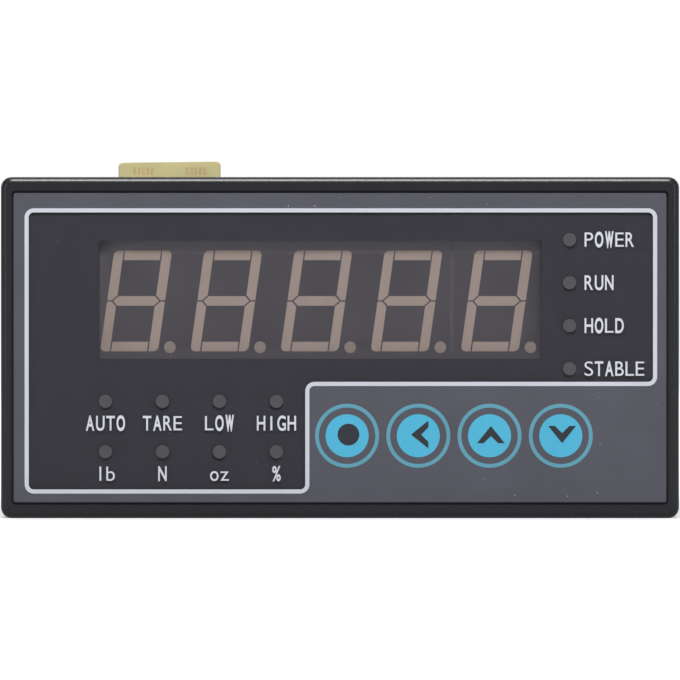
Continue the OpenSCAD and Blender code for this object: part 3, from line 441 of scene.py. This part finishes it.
def grained_finish(name, colour, roughness, specular=0.5, grain=GRAIN_SIZE, depth=0.004, blotch=BLOTCH_SIZE,
                   tone=0.08, lint=0.0, metallic=0.0, spread=ROUGHNESS_SPREAD):
    """A finish with fine grain, a slow change of tone and, where it gathers dust, specks of lint."""
    material, tree, shader = new_material(name)
    surface = add_node(tree, "ShaderNodeGroup", node_tree=GRAIN)
    surface.inputs["Grain Size"].default_value = grain
    surface.inputs["Blotch Size"].default_value = blotch
    base = mixed(tree, surface.outputs["Blotch"], tinted(colour, -tone), tinted(colour, tone))
    if lint:
        specks = add_node(tree, "ShaderNodeGroup", node_tree=LINT)
        specks.inputs["Share"].default_value = lint
        base = mixed(tree, specks.outputs["Speck"], base, LINT_COLOUR)
    tree.links.new(base, shader.inputs["Base Color"])
    rough = ranged(tree, surface.outputs["Grain"], roughness - spread, roughness + spread)
    tree.links.new(rough, shader.inputs["Roughness"])
    bump = add_node(tree, "ShaderNodeBump", {"Height": surface.outputs["Grain"], "Distance": depth * MM})
    tree.links.new(bump.outputs["Normal"], shader.inputs["Normal"])
    shader.inputs["Specular IOR Level"].default_value = specular
    shader.inputs["Metallic"].default_value = metallic
    return material


def ink_finish(name, colour, depth=0.001, specular=INK_GLOSS, **looks):
    """Satin printing ink."""
    return grained_finish(name, colour, INK_ROUGHNESS, specular=specular, depth=depth, **looks)


def shader_inputs(finish):
    """A finish's tree and the inputs of its shader."""
    return finish.node_tree, finish.node_tree.nodes["Principled BSDF"].inputs


def overlay(tree, base, mask, colour, **settings):
    """Lays a colour over what feeds a shader's input, where a mask is 1."""
    tree.links.new(mixed(tree, mask, base.links[0].from_socket, colour, **settings), base)


# Finishes of the front
SIDE_FACING = 0.7        # a surface that faces the front or the back by less than this share is a side
SIDE_ROUGHNESS = 0.8     # how much rougher the bezel's sides are than its front
SEAT_ROUGHNESS = 0.45    # the same for the film's seat
# The seat's paler grey under the film is partly the plate's and window's own tone, partly painted reflection
# for the smoked window's sheen.
SEAT_GREY_AND_SHEEN = (0.067, 0.067, 0.084, 1.0)
SEAT_INSET = 1.0         # from the film's edge to where the seat turns paler
WINDOW_TINT = 0.29       # share of the light that the smoked window takes away
WINDOW_SPREAD = 0.01


def moulded_finish():
    """The bezel's plastic, satin in front, matt on its sides and in the seat, and paler under the film,
    partly as painted reflection.
    """
    finish = grained_finish("satin bezel plastic", (0.004, 0.004, 0.008), 0.18, specular=0.3, depth=0.001)
    tree, inputs = shader_inputs(finish)
    facing = parted(tree, "Normal")["Y"]
    spot = parted(tree, "Object")
    side = ranged(tree, worked(tree, "ABSOLUTE", facing), SIDE_ROUGHNESS, 0.0, 0.0, SIDE_FACING)
    behind = worked(tree, "GREATER_THAN", spot["Y"], FILM_FRONT * MM)
    matt = worked(tree, "MAXIMUM", side, worked(tree, "MULTIPLY", behind, SEAT_ROUGHNESS))
    rough = inputs["Roughness"]
    tree.links.new(worked(tree, "ADD", rough.links[0].from_socket, matt), rough)
    seat = worked(tree, "MULTIPLY", behind, worked(tree, "LESS_THAN", facing, -SIDE_FACING))
    centre, half = (film_low + film_high) / 2, (film_high - film_low) / 2
    for axis, among, reach in (("X", centre.x, half.x), ("Z", centre.z, half.z)):
        seat = worked(tree, "MULTIPLY", seat, within(tree, spot[axis], among, reach - SEAT_INSET * MM))
    # Paler seat under the film: own grey with painted reflection standing in for the window's sheen.
    overlay(tree, inputs["Base Color"], seat, SEAT_GREY_AND_SHEEN)
    return finish


def smoked_finish():
    """The film's smoked window, a plain tint on its front face and clear on its back."""
    finish = grained_finish("smoked window", (0.0, 0.0, 0.0), 0.4, specular=0.0, depth=0.0003, lint=0.1,
                            spread=WINDOW_SPREAD)
    tree, inputs = shader_inputs(finish)
    smoked = worked(tree, "LESS_THAN", parted(tree, "Normal")["Y"], SIDE_FACING)
    tree.links.new(worked(tree, "MULTIPLY", smoked, WINDOW_TINT), inputs["Alpha"])
    return finish


bezel_finish = moulded_finish()
window_finish = smoked_finish()
film_finish = ink_finish("grey film print", (0.085, 0.085, 0.108), depth=0.002, lint=0.2)
line_finish = ink_finish("white line ink", (0.66, 0.67, 0.745), tone=0.03)
legend_finish = ink_finish("white legend ink", (0.7, 0.71, 0.78), tone=0.03)
disc_finish = ink_finish("key disc ink", (0.086, 0.484, 0.72), depth=0.002, tone=0.03)
ring_finish = ink_finish("key ring ink", (0.12, 0.362, 0.475), depth=0.002, tone=0.05)
symbol_finish = ink_finish("key symbol ink", (0.025, 0.028, 0.035), specular=0.22)
lamp_window_finish = ink_finish("frosted lamp window", (0.073, 0.072, 0.082), tone=0.03)

# Digits: a decimal point lies at the lower right of each, and is duller than the strokes.
DIGIT_PITCH = 12.7
POINT_R = 0.825
POINT_ROOM = 0.15        # how far past a point its duller tone reaches
POINT_TONE = (0.8, 0.825, 0.845, 1.0)
strokes_low, strokes_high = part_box("single_digit_strokes")
POINT_X, POINT_Z = strokes_high.x - POINT_R * MM, strokes_low.z + POINT_R * MM


def stroke_finish():
    """Milky resin, duller in the decimal points."""
    finish = grained_finish("milky stroke resin", (0.647, 0.521, 0.467), 0.45, specular=0.2, grain=0.5,
                            depth=0.002, blotch=3.0, tone=0.03)
    tree, inputs = shader_inputs(finish)
    spot = parted(tree, "Object")
    half = DIGIT_PITCH / 2 * MM
    across = worked(tree, "WRAP", worked(tree, "SUBTRACT", spot["X"], POINT_X), half, -half)
    reach = (POINT_R + POINT_ROOM) * MM
    level = within(tree, spot["Z"], POINT_Z, reach)
    point = worked(tree, "MULTIPLY", within(tree, across, 0.0, reach), level)
    overlay(tree, inputs["Base Color"], point, POINT_TONE, blend_type="MULTIPLY")
    return finish


# Digit blocks: their faces are paler along their seam, with painted light where the window's walls shade
# them.
quad_low, quad_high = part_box("quad_digit_block")
single_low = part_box("single_digit_block")[0]
FACE_COLOUR = (0.161, 0.152, 0.172)
WINDOW_LAP = 1.15        # how far a block goes behind the upper and lower edges of the bezel's window
SIDE_LAP = 0.6           # the same at the window's ends
SEAM_X = (quad_high.x + single_low.x) / 2
SEAM_ROOM, SEAM_DEPTH = 0.005, 0.4     # free space on each side of the bead in the seam, and its depth

# Paler strips: from the seam or an edge to where each starts to fade and where it ends, and how much paler.
# The seam's strip is the paint's own; those at the top, foot and left are painted light against the walls'
# shadow.
SEAM_FADE, SEAM_TONE = (0.0, 0.35), 0.22
TOP_FADE, TOP_PAINTED_LIGHT = (1.28, 1.88), 0.85
FOOT_FADE, FOOT_PAINTED_LIGHT = (0.3, 2.0), 0.42
LEFT_FADE, LEFT_PAINTED_LIGHT = (0.2, 2.6), 0.42


def block_face_finish():
    """Matt grey paint, paler along the seam, with painted light towards the window's edges against their
    shadow.
    """
    finish = grained_finish("digit face paint", FACE_COLOUR, 0.7, specular=0.1, depth=0.003)
    tree, inputs = shader_inputs(finish)
    spot = parted(tree, "Object")
    from_seam = worked(tree, "ABSOLUTE", worked(tree, "SUBTRACT", spot["X"], SEAM_X))
    from_top = worked(tree, "SUBTRACT", quad_high.z - WINDOW_LAP * MM, spot["Z"])
    from_foot = worked(tree, "SUBTRACT", spot["Z"], quad_low.z + WINDOW_LAP * MM)
    from_left = worked(tree, "SUBTRACT", spot["X"], quad_low.x + SIDE_LAP * MM)
    # The top, foot and left strips are painted light over the shadow of the window's walls; the seam's strip
    # is the paint's own.
    strips = ((from_seam, SEAM_FADE, SEAM_TONE), (from_top, TOP_FADE, TOP_PAINTED_LIGHT),
              (from_foot, FOOT_FADE, FOOT_PAINTED_LIGHT), (from_left, LEFT_FADE, LEFT_PAINTED_LIGHT))
    for away, (near, far), tone in strips:
        paler = ranged(tree, away, 1.0, 0.0, near * MM, far * MM)
        overlay(tree, inputs["Base Color"], paler, tinted(FACE_COLOUR, tone))
    return finish


# Label: two short rows of faded blocks are printed near its free end.
label_low, label_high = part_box("seal_label")
BLOCK_ROWS_X = (-27.8, -20.5)
BLOCK_ROW_W, BLOCK_H = 3.2, 1.1
BLOCK_PITCH, BLOCK_W = 0.62, 0.4
BLOCK_DROP = 1.35        # from the label's free edge to the middle of the blocks
BLOCK_COLOUR = (0.6, 0.22, 0.13, 1.0)
BLOCK_FADE = 0.6         # how strong the print is at most


def paper_finish():
    """Matt yellow paper with faded blocks of print."""
    finish = grained_finish("yellow label paper", (0.78, 0.71, 0.36), 0.8, specular=0.1)
    tree, inputs = shader_inputs(finish)
    spot = parted(tree, "Object")
    rows = [within(tree, spot["X"], x * MM, BLOCK_ROW_W / 2 * MM) for x in BLOCK_ROWS_X]
    line = within(tree, spot["Z"], label_high.z - BLOCK_DROP * MM, BLOCK_H / 2 * MM)
    stretch = worked(tree, "MULTIPLY", worked(tree, "MAXIMUM", *rows), line)
    along = worked(tree, "WRAP", spot["X"], BLOCK_PITCH / 2 * MM, -BLOCK_PITCH / 2 * MM)
    block = worked(tree, "MULTIPLY", within(tree, along, 0.0, BLOCK_W / 2 * MM), stretch)
    grain = add_node(tree, "ShaderNodeGroup", node_tree=GRAIN).outputs["Grain"]
    faded = worked(tree, "MULTIPLY", block, ranged(tree, grain, 0.0, BLOCK_FADE))
    overlay(tree, inputs["Base Color"], faded, BLOCK_COLOUR)
    return finish


# Finishes of the CAD pieces, by the record's material slot
slot_finishes = {
    "bezel_plastic": bezel_finish,
    "case_plastic": grained_finish("textured case plastic", (0.014, 0.014, 0.016), 0.55, specular=0.3,
                                   depth=0.012),
    "terminal_plastic": grained_finish("terminal base plastic", (0.013, 0.013, 0.015), 0.45, specular=0.35),
    "front_film": window_finish,
    "grey_ink": film_finish,
    "white_ink": line_finish,
    "blue_ink": disc_finish,
    "dark_ink": symbol_finish,
    "digit_housing": block_face_finish(),
    "digit_stroke": stroke_finish(),
    "lamp_lens": grained_finish("unlit lamp resin", (0.14, 0.138, 0.14), 0.4, specular=0.3, depth=0.001),
    "circuit_board": grained_finish("green solder mask", (0.02, 0.14, 0.06), 0.35, grain=0.6, depth=0.003),
    "key_plastic": grained_finish("key cap plastic", (0.06, 0.06, 0.065), 0.5),
    "switch_plastic": grained_finish("switch plastic", (0.02, 0.02, 0.022), 0.5),
    "plated_pins": grained_finish("gold plating", (0.6, 0.45, 0.18), 0.3, metallic=1.0),
    "core_steel": grained_finish("core laminations", (0.3, 0.3, 0.31), 0.45, metallic=1.0),
    "coil_wrap": grained_finish("yellow coil tape", (0.6, 0.42, 0.06), 0.3, blotch=3.0),
    "relay_plastic": grained_finish("blue relay cover", (0.03, 0.12, 0.4), 0.35),
    "capacitor_sleeve": grained_finish("dark capacitor sleeve", (0.02, 0.03, 0.07), 0.3),
    "terminal_brass": grained_finish("tinned brass", (0.62, 0.58, 0.46), 0.3, metallic=1.0, blotch=3.0),
    "screw_steel": grained_finish("zinc plating", (0.6, 0.6, 0.6), 0.3, metallic=1.0, blotch=2.0),
    "label_paper": paper_finish(),
}
seam_finish = grained_finish("seam bead", (0.235, 0.222, 0.23), 0.7, specular=0.1, depth=0.001)


def dress_solids():
    """Gives every CAD node its slot's finish."""
    for part in frame["record"]["subparts"]:
        solid = frame["nodes"][part["node"]]
        solid.data.materials.clear()
        solid.data.materials.append(slot_finishes[part["material_slot"]])


# Front film
def make_film():
    """The grey print, the smoked window and the white line between them."""
    film_corners = rectangle(film_low.x / MM, film_high.x / MM, film_low.z / MM, film_high.z / MM)
    outer = rounded(film_corners, FILM_CORNER_R)
    inner_edge = rounded(window_corners, LINE_CORNER_R, -LINE_W / 2)
    outer_edge = rounded(window_corners, LINE_CORNER_R, LINE_W / 2)
    line_middle = rounded(window_corners, LINE_CORNER_R)
    holes = [circle(middle(f"key_cap_{i}"), FLEX_R) for i in KEYS]
    mesh = film_mesh("film_grey", [outer, line_middle, *holes])
    grey = piece("film_grey", mesh, film_finish)
    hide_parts("grey_print")
    mesh = film_mesh("film_window", [line_middle])
    window = piece("film_window", mesh, window_finish)
    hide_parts("front_film")
    mesh = print_mesh("window_line", [outer_edge, inner_edge])
    line = piece("window_line", mesh, line_finish)
    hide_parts("line_print")


def arrow(centre, turn):
    """The outline of a key's arrow that points along turn, in degrees from the right."""
    tip, tail = ARROW_DEPTH / 2, -ARROW_DEPTH / 2
    outline = [(tip, 0), (tail, ARROW_ACROSS / 2), (tail, ARROW_GAPE / 2), (tip - ARROW_WAIST, 0),
               (tail, -ARROW_GAPE / 2), (tail, -ARROW_ACROSS / 2)]
    c, s = math.cos(math.radians(turn)), math.sin(math.radians(turn))
    return [(centre[0] + u * c - v * s, centre[1] + u * s + v * c) for u, v in outline]


def make_key(i):
    """One key's printed ring, flexing ring, disc and symbol."""
    centre = middle(f"key_cap_{i}")
    body = f"key_{i}"
    mesh = print_mesh(f"key_ring_{i}", [circle(centre, RING_OUTER_R), circle(centre, RING_INNER_R)])
    ring = piece(f"key_ring_{i}", mesh, ring_finish)
    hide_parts("ring_prints")
    mesh = film_mesh(f"key_disc_{i}", [circle(centre, DISC_R)])
    disc = piece(f"key_disc_{i}", mesh, disc_finish, body=body)
    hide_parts("disc_prints")
    spot = (centre[0] + SYMBOL_SHIFT[0], centre[1] + SYMBOL_SHIFT[1])
    outline = arrow(spot, ARROW_TURNS[i]) if i in ARROW_TURNS else circle(spot, DOT_R)
    mesh = print_mesh(f"key_symbol_{i}", [outline])
    symbol = piece(f"key_symbol_{i}", mesh, symbol_finish, body=body)
    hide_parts("symbol_prints")
    make_flex(i, centre, body)


def make_flex(i, centre, body):
    """The ring of film that bends round a pressed key, whose inner edge follows the key."""
    radii = [DISC_R + (FLEX_R - DISC_R) * k / FLEX_STEPS for k in range(FLEX_STEPS + 1)]
    section = [(r, FILM_FRONT) for r in radii] + [(r, FILM_BACK) for r in reversed(radii)]
    mesh = turned_mesh(f"key_flex_{i}", section, centre)
    flex = piece(f"key_flex_{i}", mesh, film_finish, body=None)
    axis = Vector((centre[0], FILM_FRONT, centre[1])) * MM
    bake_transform(flex, "root", body, start=axis + Vector((FLEX_R * MM, 0, 0)),
             end=axis + Vector((DISC_R * MM, 0, 0)))
    for point, share in zip(flex.data.vertices, flex.data.attributes["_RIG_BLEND"].data):
        reach = math.hypot(point.co.x - axis.x, point.co.z - axis.z) / MM
        t = min(1.0, max(0.0, (FLEX_R - reach) / (FLEX_R - DISC_R)))
        share.value = t * t * (3 - 2 * t)


def make_lamp_windows():
    """The frosted dots in the smoked print before the lamps, as one print."""
    mesh = print_mesh("lamp_windows", [circle(middle(lamp), LAMP_WINDOW_R) for lamp in LAMPS])
    piece("lamp_windows", mesh, lamp_window_finish)


def make_block_seam():
    """The pale bead of resin in the seam between the digit blocks."""
    left, right = quad_high.x / MM + SEAM_ROOM, single_low.x / MM - SEAM_ROOM
    outline = rectangle(left, right, quad_low.z / MM + WINDOW_LAP, quad_high.z / MM - WINDOW_LAP)
    front = quad_low.y / MM
    mesh = sheet_mesh("block_seam", [outline], front, front + SEAM_DEPTH)
    piece("block_seam", mesh, seam_finish)


def make_legends():
    """The legends beside and below the lamps, as one print."""
    words = []
    for i, word in enumerate(STATUS_WORDS, 1):
        width = LETTER_PITCH * (len(word) - 1) + LETTER_W
        centre = (STATUS_TEXT_X + width / 2, middle(f"status_lamp_{i}")[1])
        words += word_meshes(word, centre, LETTER_PITCH, LETTER_W, CAP_H, FILM_FRONT)
    for row, row_words in (("output", OUTPUT_WORDS), ("unit", UNIT_WORDS)):
        for i, word in enumerate(row_words, 1):
            x, z = middle(f"{row}_lamp_{i}")
            words += word_meshes(word, (x, z - LEGEND_DROP), LETTER_PITCH, LETTER_W, CAP_H, FILM_FRONT)
    piece("legends", joined_mesh("legends", words), legend_finish)


# Label on the case's top, with its end peeled up behind the bezel
case_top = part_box("case_shell")[1].z
LABEL_HALF_W = (label_high.x - label_low.x) / 2 / MM
LABEL_X = (label_high.x + label_low.x) / 2 / MM
LABEL_T = 0.16
LABEL_BEND_R = 0.6
LABEL_LEAN = 4.0         # degrees that the free end leans back
LABEL_CORNER_R = 0.6
LABEL_SKEW = 0.012       # slope of the free end's edge, up to the right
LABEL_CURL = 0.25        # how far the free end's corners curl back
LABEL_RIPPLE = 0.12      # how far the free end waves
RIPPLE_TURN = 2.6        # radians of that wave from the label's middle to its side
RIPPLE_START = 0.8       # radians of it at the middle
LABEL_ACROSS = 36        # steps across the label
LABEL_FOOT_STEPS, LABEL_BEND_STEPS, LABEL_END_STEPS = 8, 10, 24


def label_path():
    """The label's middle line in Y and Z: along the case's top, round the bend and up to its free end."""
    top, fold = case_top / MM, label_low.y / MM
    centre = Vector((fold + LABEL_BEND_R, top + LABEL_T / 2 + LABEL_BEND_R))
    foot_end = label_high.y / MM
    lean = math.radians(LABEL_LEAN)
    path = []
    for k in range(LABEL_FOOT_STEPS):
        y = foot_end + (centre.x - foot_end) * k / LABEL_FOOT_STEPS
        path.append(Vector((y, centre.y - LABEL_BEND_R)))
    for k in range(LABEL_BEND_STEPS + 1):
        a = -math.pi / 2 - (math.pi / 2 + lean) * k / LABEL_BEND_STEPS
        path.append(centre + LABEL_BEND_R * Vector((math.cos(a), math.sin(a))))
    start = path[-1].copy()
    up = Vector((math.sin(lean), math.cos(lean)))
    rise = (label_high.z / MM - start.y - LABEL_SKEW * LABEL_HALF_W) / up.y
    for k in range(1, LABEL_END_STEPS + 1):
        path.append(start + up * rise * (1 - (1 - k / LABEL_END_STEPS) ** 2))
    return path


def label_face(form, path, side):
    """Rows of points across the label from its foot to its free end, on one side of its middle line."""
    ways = [0.0]
    for a, b in zip(path, path[1:]):
        ways.append(ways[-1] + (b - a).length)
    rows = []
    for j, spot in enumerate(path):
        along = (path[min(j + 1, len(path) - 1)] - path[max(j - 1, 0)]).normalized()
        away = Vector((along.y, -along.x))
        cut = max(0.0, LABEL_CORNER_R - (ways[-1] - ways[j]))
        reach = LABEL_HALF_W - (LABEL_CORNER_R - math.sqrt(LABEL_CORNER_R ** 2 - cut ** 2))
        free = max(0.0, (j - LABEL_FOOT_STEPS - LABEL_BEND_STEPS) / LABEL_END_STEPS)
        row = []
        for i in range(LABEL_ACROSS + 1):
            u = 2 * i / LABEL_ACROSS - 1
            bow = free * (LABEL_CURL * u * u + LABEL_RIPPLE * math.sin(RIPPLE_TURN * u + RIPPLE_START))
            shift = Vector((bow, LABEL_SKEW * u * LABEL_HALF_W * free))
            p = spot + away * (side * LABEL_T / 2) + shift
            row.append(form.verts.new(Vector((LABEL_X + u * reach, p.x, p.y)) * MM))
        rows.append(row)
    return rows


def rim_of(rows):
    """The points round the edge of a face, from its rows."""
    return rows[0] + [row[-1] for row in rows[1:]] + rows[-1][-2::-1] + [row[0] for row in rows[-2:0:-1]]


def make_label():
    """One strip of paper with a thickness, rounded corners and a slightly curled free end."""
    path = label_path()
    form = bmesh.new()
    front, back = label_face(form, path, -1), label_face(form, path, 1)
    for rows in (front, back):
        for lower, upper in zip(rows, rows[1:]):
            for i in range(LABEL_ACROSS):
                form.faces.new((lower[i], lower[i + 1], upper[i + 1], upper[i]))
    front_rim, back_rim = rim_of(front), rim_of(back)
    for k in range(len(front_rim)):
        form.faces.new((front_rim[k - 1], front_rim[k], back_rim[k], back_rim[k - 1]))
    mesh = mesh_of(form, "peeled_label")
    for face in mesh.polygons:
        face.use_smooth = True
    label = piece("peeled_label", closed_up(mesh), slot_finishes["label_paper"])
    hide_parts("seal_label")


# Terminal screws and numbers at the back
TERMINALS, TERMINAL_ROWS = 10, 2
screws_low, screws_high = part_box("terminal_screws")
HEAD_D, HEAD_H = 5.6, 2.1
HEAD_EDGE = 0.25         # upright edge of a screw's head
CROWN_STEPS = 10
THREAD_D = 2.9
TURN_SEED = 7
ROW_LENGTH = screws_high.x - screws_low.x - HEAD_D * MM
ROW_DISTANCE = screws_high.z - screws_low.z - HEAD_D * MM
BARRIER_H = 7.0          # from the base's face to the top of its barriers
NUMBER_Z = 2.9
NUMBER_H, NUMBER_W, NUMBER_PITCH = 1.7, 0.95, 1.25


def screw_mesh():
    """One terminal screw along Y at the origin, with the top of its plain domed head towards the back."""
    seat, tip, top = 0.0, (screws_low.y - screws_high.y) / MM + HEAD_H, HEAD_H
    crown = [(HEAD_D / 2 * math.cos(a), HEAD_EDGE + (HEAD_H - HEAD_EDGE) * math.sin(a))
             for a in (math.pi / 2 * k / CROWN_STEPS for k in range(CROWN_STEPS))]
    section = [(0, tip), (THREAD_D / 2, tip), (THREAD_D / 2, seat), (HEAD_D / 2, seat), *crown, (0, top)]
    return turned_mesh("terminal screw", section, (0, 0))


def screw_rows_tree():
    """Rows of a screw, each turned by its own amount."""
    tree = bpy.data.node_groups.new("terminal screw rows", "GeometryNodeTree")
    tree.interface.new_socket("Geometry", in_out="OUTPUT", socket_type="NodeSocketGeometry")
    sockets = {"Screw": "Object", "Columns": "Int", "Rows": "Int", "Row Length": "Float",
               "Row Distance": "Float", "Seat": "Float", "Seed": "Int", "Finish": "Material"}
    for name, kind in sockets.items():
        tree.interface.new_socket(name, in_out="INPUT", socket_type=f"NodeSocket{kind}")
    given = tree.nodes.new("NodeGroupInput").outputs
    grid = add_node(tree, "GeometryNodeMeshGrid", {
        "Size X": given["Row Length"], "Size Y": given["Row Distance"],
        "Vertices X": given["Columns"], "Vertices Y": given["Rows"]})
    seat = add_node(tree, "ShaderNodeCombineXYZ", {"Y": given["Seat"]})
    stood = add_node(tree, "GeometryNodeTransform", {
        "Geometry": grid.outputs["Mesh"], "Rotation": (math.radians(90), 0, 0),
        "Translation": seat.outputs["Vector"]})
    turn = add_node(tree, "FunctionNodeRandomValue", {"Seed": given["Seed"]}, data_type="FLOAT_VECTOR")
    turn.inputs["Min"].default_value = (0, 0, 0)
    turn.inputs["Max"].default_value = (0, math.pi, 0)
    screw = add_node(tree, "GeometryNodeObjectInfo", {"Object": given["Screw"]})
    rows = add_node(tree, "GeometryNodeInstanceOnPoints", {
        "Points": stood.outputs["Geometry"], "Instance": screw.outputs["Geometry"],
        "Rotation": turn.outputs["Value"]})
    solid = add_node(tree, "GeometryNodeRealizeInstances", {"Geometry": rows.outputs["Instances"]})
    coated = add_node(tree, "GeometryNodeSetMaterial", {
        "Geometry": solid.outputs["Geometry"], "Material": given["Finish"]})
    result = tree.nodes.new("NodeGroupOutput")
    tree.links.new(coated.outputs["Geometry"], result.inputs["Geometry"])
    return tree


def make_terminal_screws():
    """The rows of terminal screws, in place of the solids."""
    screw = linked("terminal screw", screw_mesh())
    holder = linked("screw rows", bpy.data.meshes.new("screw rows"))
    rows = holder.modifiers.new("rows", "NODES")
    tree = screw_rows_tree()
    rows.node_group = tree
    values = {"Screw": screw, "Columns": TERMINALS, "Rows": TERMINAL_ROWS, "Row Length": ROW_LENGTH,
              "Row Distance": ROW_DISTANCE, "Seat": screws_high.y - HEAD_H * MM, "Seed": TURN_SEED,
              "Finish": slot_finishes["screw_steel"]}
    for socket in tree.interface.items_tree:
        if socket.in_out == "INPUT":
            rows[socket.identifier] = values[socket.name]
    mesh = shown_mesh(holder)
    bpy.data.objects.remove(holder)
    bpy.data.objects.remove(screw)
    made = piece("screw_rows", mesh, slot_finishes["screw_steel"])
    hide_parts("terminal_screws")


def make_terminal_numbers():
    """Plain numbers on the base between the two rows of terminals, read from behind."""
    pitch = ROW_LENGTH / (TERMINALS - 1) / MM
    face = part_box("terminal_base")[1].y / MM - BARRIER_H
    letters = []
    for k in range(TERMINAL_ROWS * TERMINALS):
        row, column = divmod(k, TERMINALS)
        x = (TERMINALS - 1) / 2 * pitch - column * pitch
        z = NUMBER_Z if row == 0 else -NUMBER_Z
        letters += word_meshes(str(k + 1), (x, z), NUMBER_PITCH, NUMBER_W, NUMBER_H, face, FACING_BACK)
    piece("terminal_numbers", joined_mesh("terminal_numbers", letters), legend_finish)


# Camera, light and floor
FRONT_Y = cad_box[0].y / MM     # the rim's front
VIEW_AIM_Z = 1.08               # height on the front at the middle of the photograph
VIEW_RISE = 0.8                 # degrees that the camera looks down
VIEW_DISTANCE = 1600
FRAME_WIDTH = 95.64             # width of the front's plane that the photograph takes in
WORLD_LIGHT = 0.15
FLOOR_HALF = 4.0
FLOOR_COLOUR = (0.8, 0.8, 0.8, 1.0)
FLOOR_NEAR, FLOOR_FAR = 0.15, 0.8               # metres between which the floor's glow rises
FLOOR_GLOW_NEAR, FLOOR_GLOW_FAR = 0.4, 0.85     # glow that keeps the floor white near the part and far away

# Lamps in metres and watts: place, width, height and power. The rounded rim mirrors the first four.
SOFTBOXES = {
    "front softbox": ((0.0, -0.65, 0.63), 0.26, 0.22, 5.1),
    "low strip": ((0.0, -1.16, 0.335), 0.3, 0.06, 0.5),
    "left strip": ((-0.393, -1.16, 0.05), 0.07, 0.5, 0.38),
    "right strip": ((0.393, -1.16, 0.05), 0.07, 0.5, 0.38),
    "top softbox": ((0.0, 0.15, 0.8), 0.5, 0.5, 2.0),
    "rear softbox": ((0.0, 0.7, 0.5), 0.5, 0.5, 2.5),
}


def make_camera():
    """A long lens, square to the front and a little above it."""
    camera = linked("camera", bpy.data.cameras.new("camera"))
    bpy.context.scene.camera = camera
    rise = math.radians(VIEW_RISE)
    back = Vector((0, -math.cos(rise), math.sin(rise)))
    camera.location = (Vector((0, FRONT_Y, VIEW_AIM_Z)) + back * VIEW_DISTANCE) * MM
    camera.rotation_euler = (-back).to_track_quat("-Z", "Y").to_euler()
    camera.data.lens = camera.data.sensor_width * VIEW_DISTANCE / FRAME_WIDTH


def seen_directly(tree):
    """1 for what the camera sees, straight or in a reflection or through glass, and 0 for light."""
    path = add_node(tree, "ShaderNodeLightPath")
    seen = worked(tree, "MAXIMUM", path.outputs["Is Camera Ray"], path.outputs["Is Glossy Ray"])
    return worked(tree, "MAXIMUM", seen, path.outputs["Is Transmission Ray"])


def make_world():
    """Even studio light. The background itself shows as white."""
    world = bpy.data.worlds.new("studio")
    bpy.context.scene.world = world
    world.use_nodes = True
    tree = world.node_tree
    strength = ranged(tree, seen_directly(tree), WORLD_LIGHT, 1.0)
    tree.links.new(strength, tree.nodes["Background"].inputs["Strength"])
    tree.nodes["Background"].inputs["Color"].default_value = WHITE


def make_floor():
    """A pale floor under the bezel's lower edge, which shows as white where no shadow falls."""
    corners = rectangle(-FLOOR_HALF, FLOOR_HALF, -FLOOR_HALF, FLOOR_HALF)
    mesh = bpy.data.meshes.new("floor")
    mesh.from_pydata([(x, y, cad_box[0].z) for x, y in corners], [], [(0, 1, 2, 3)])
    floor = linked("floor", mesh)
    material, tree, shader = new_material("pale floor")
    shader.inputs["Base Color"].default_value = FLOOR_COLOUR
    shader.inputs["Roughness"].default_value = 1.0
    shader.inputs["Specular IOR Level"].default_value = 0.0
    shader.inputs["Emission Strength"].default_value = 1.0
    place = add_node(tree, "ShaderNodeTexCoord").outputs["Object"]
    far = add_node(tree, "ShaderNodeVectorMath", {0: place}, operation="LENGTH").outputs["Value"]
    glow = ranged(tree, far, FLOOR_GLOW_NEAR, FLOOR_GLOW_FAR, FLOOR_NEAR, FLOOR_FAR)
    tree.links.new(worked(tree, "MULTIPLY", glow, seen_directly(tree)), shader.inputs["Emission Color"])
    mesh.materials.append(material)


def softbox(name, place, width, height, power):
    """A lamp that looks at the part."""
    lamp = bpy.data.lights.new(name, "AREA")
    lamp.shape = "RECTANGLE"
    lamp.size = width
    lamp.size_y = height
    lamp.energy = power
    holder = linked(name, lamp)
    holder.location = place
    holder.rotation_euler = (-Vector(place)).to_track_quat("-Z", "Y").to_euler()
    holder.visible_camera = False


dress_solids()
make_film()
for key in KEYS:
    make_key(key)
make_lamp_windows()
make_block_seam()
make_legends()
make_label()
make_terminal_screws()
make_terminal_numbers()
make_camera()
make_world()
make_floor()
for name, (place, width, height, power) in SOFTBOXES.items():
    softbox(name, place, width, height, power)
bpy.context.scene.view_settings.view_transform = "Standard"
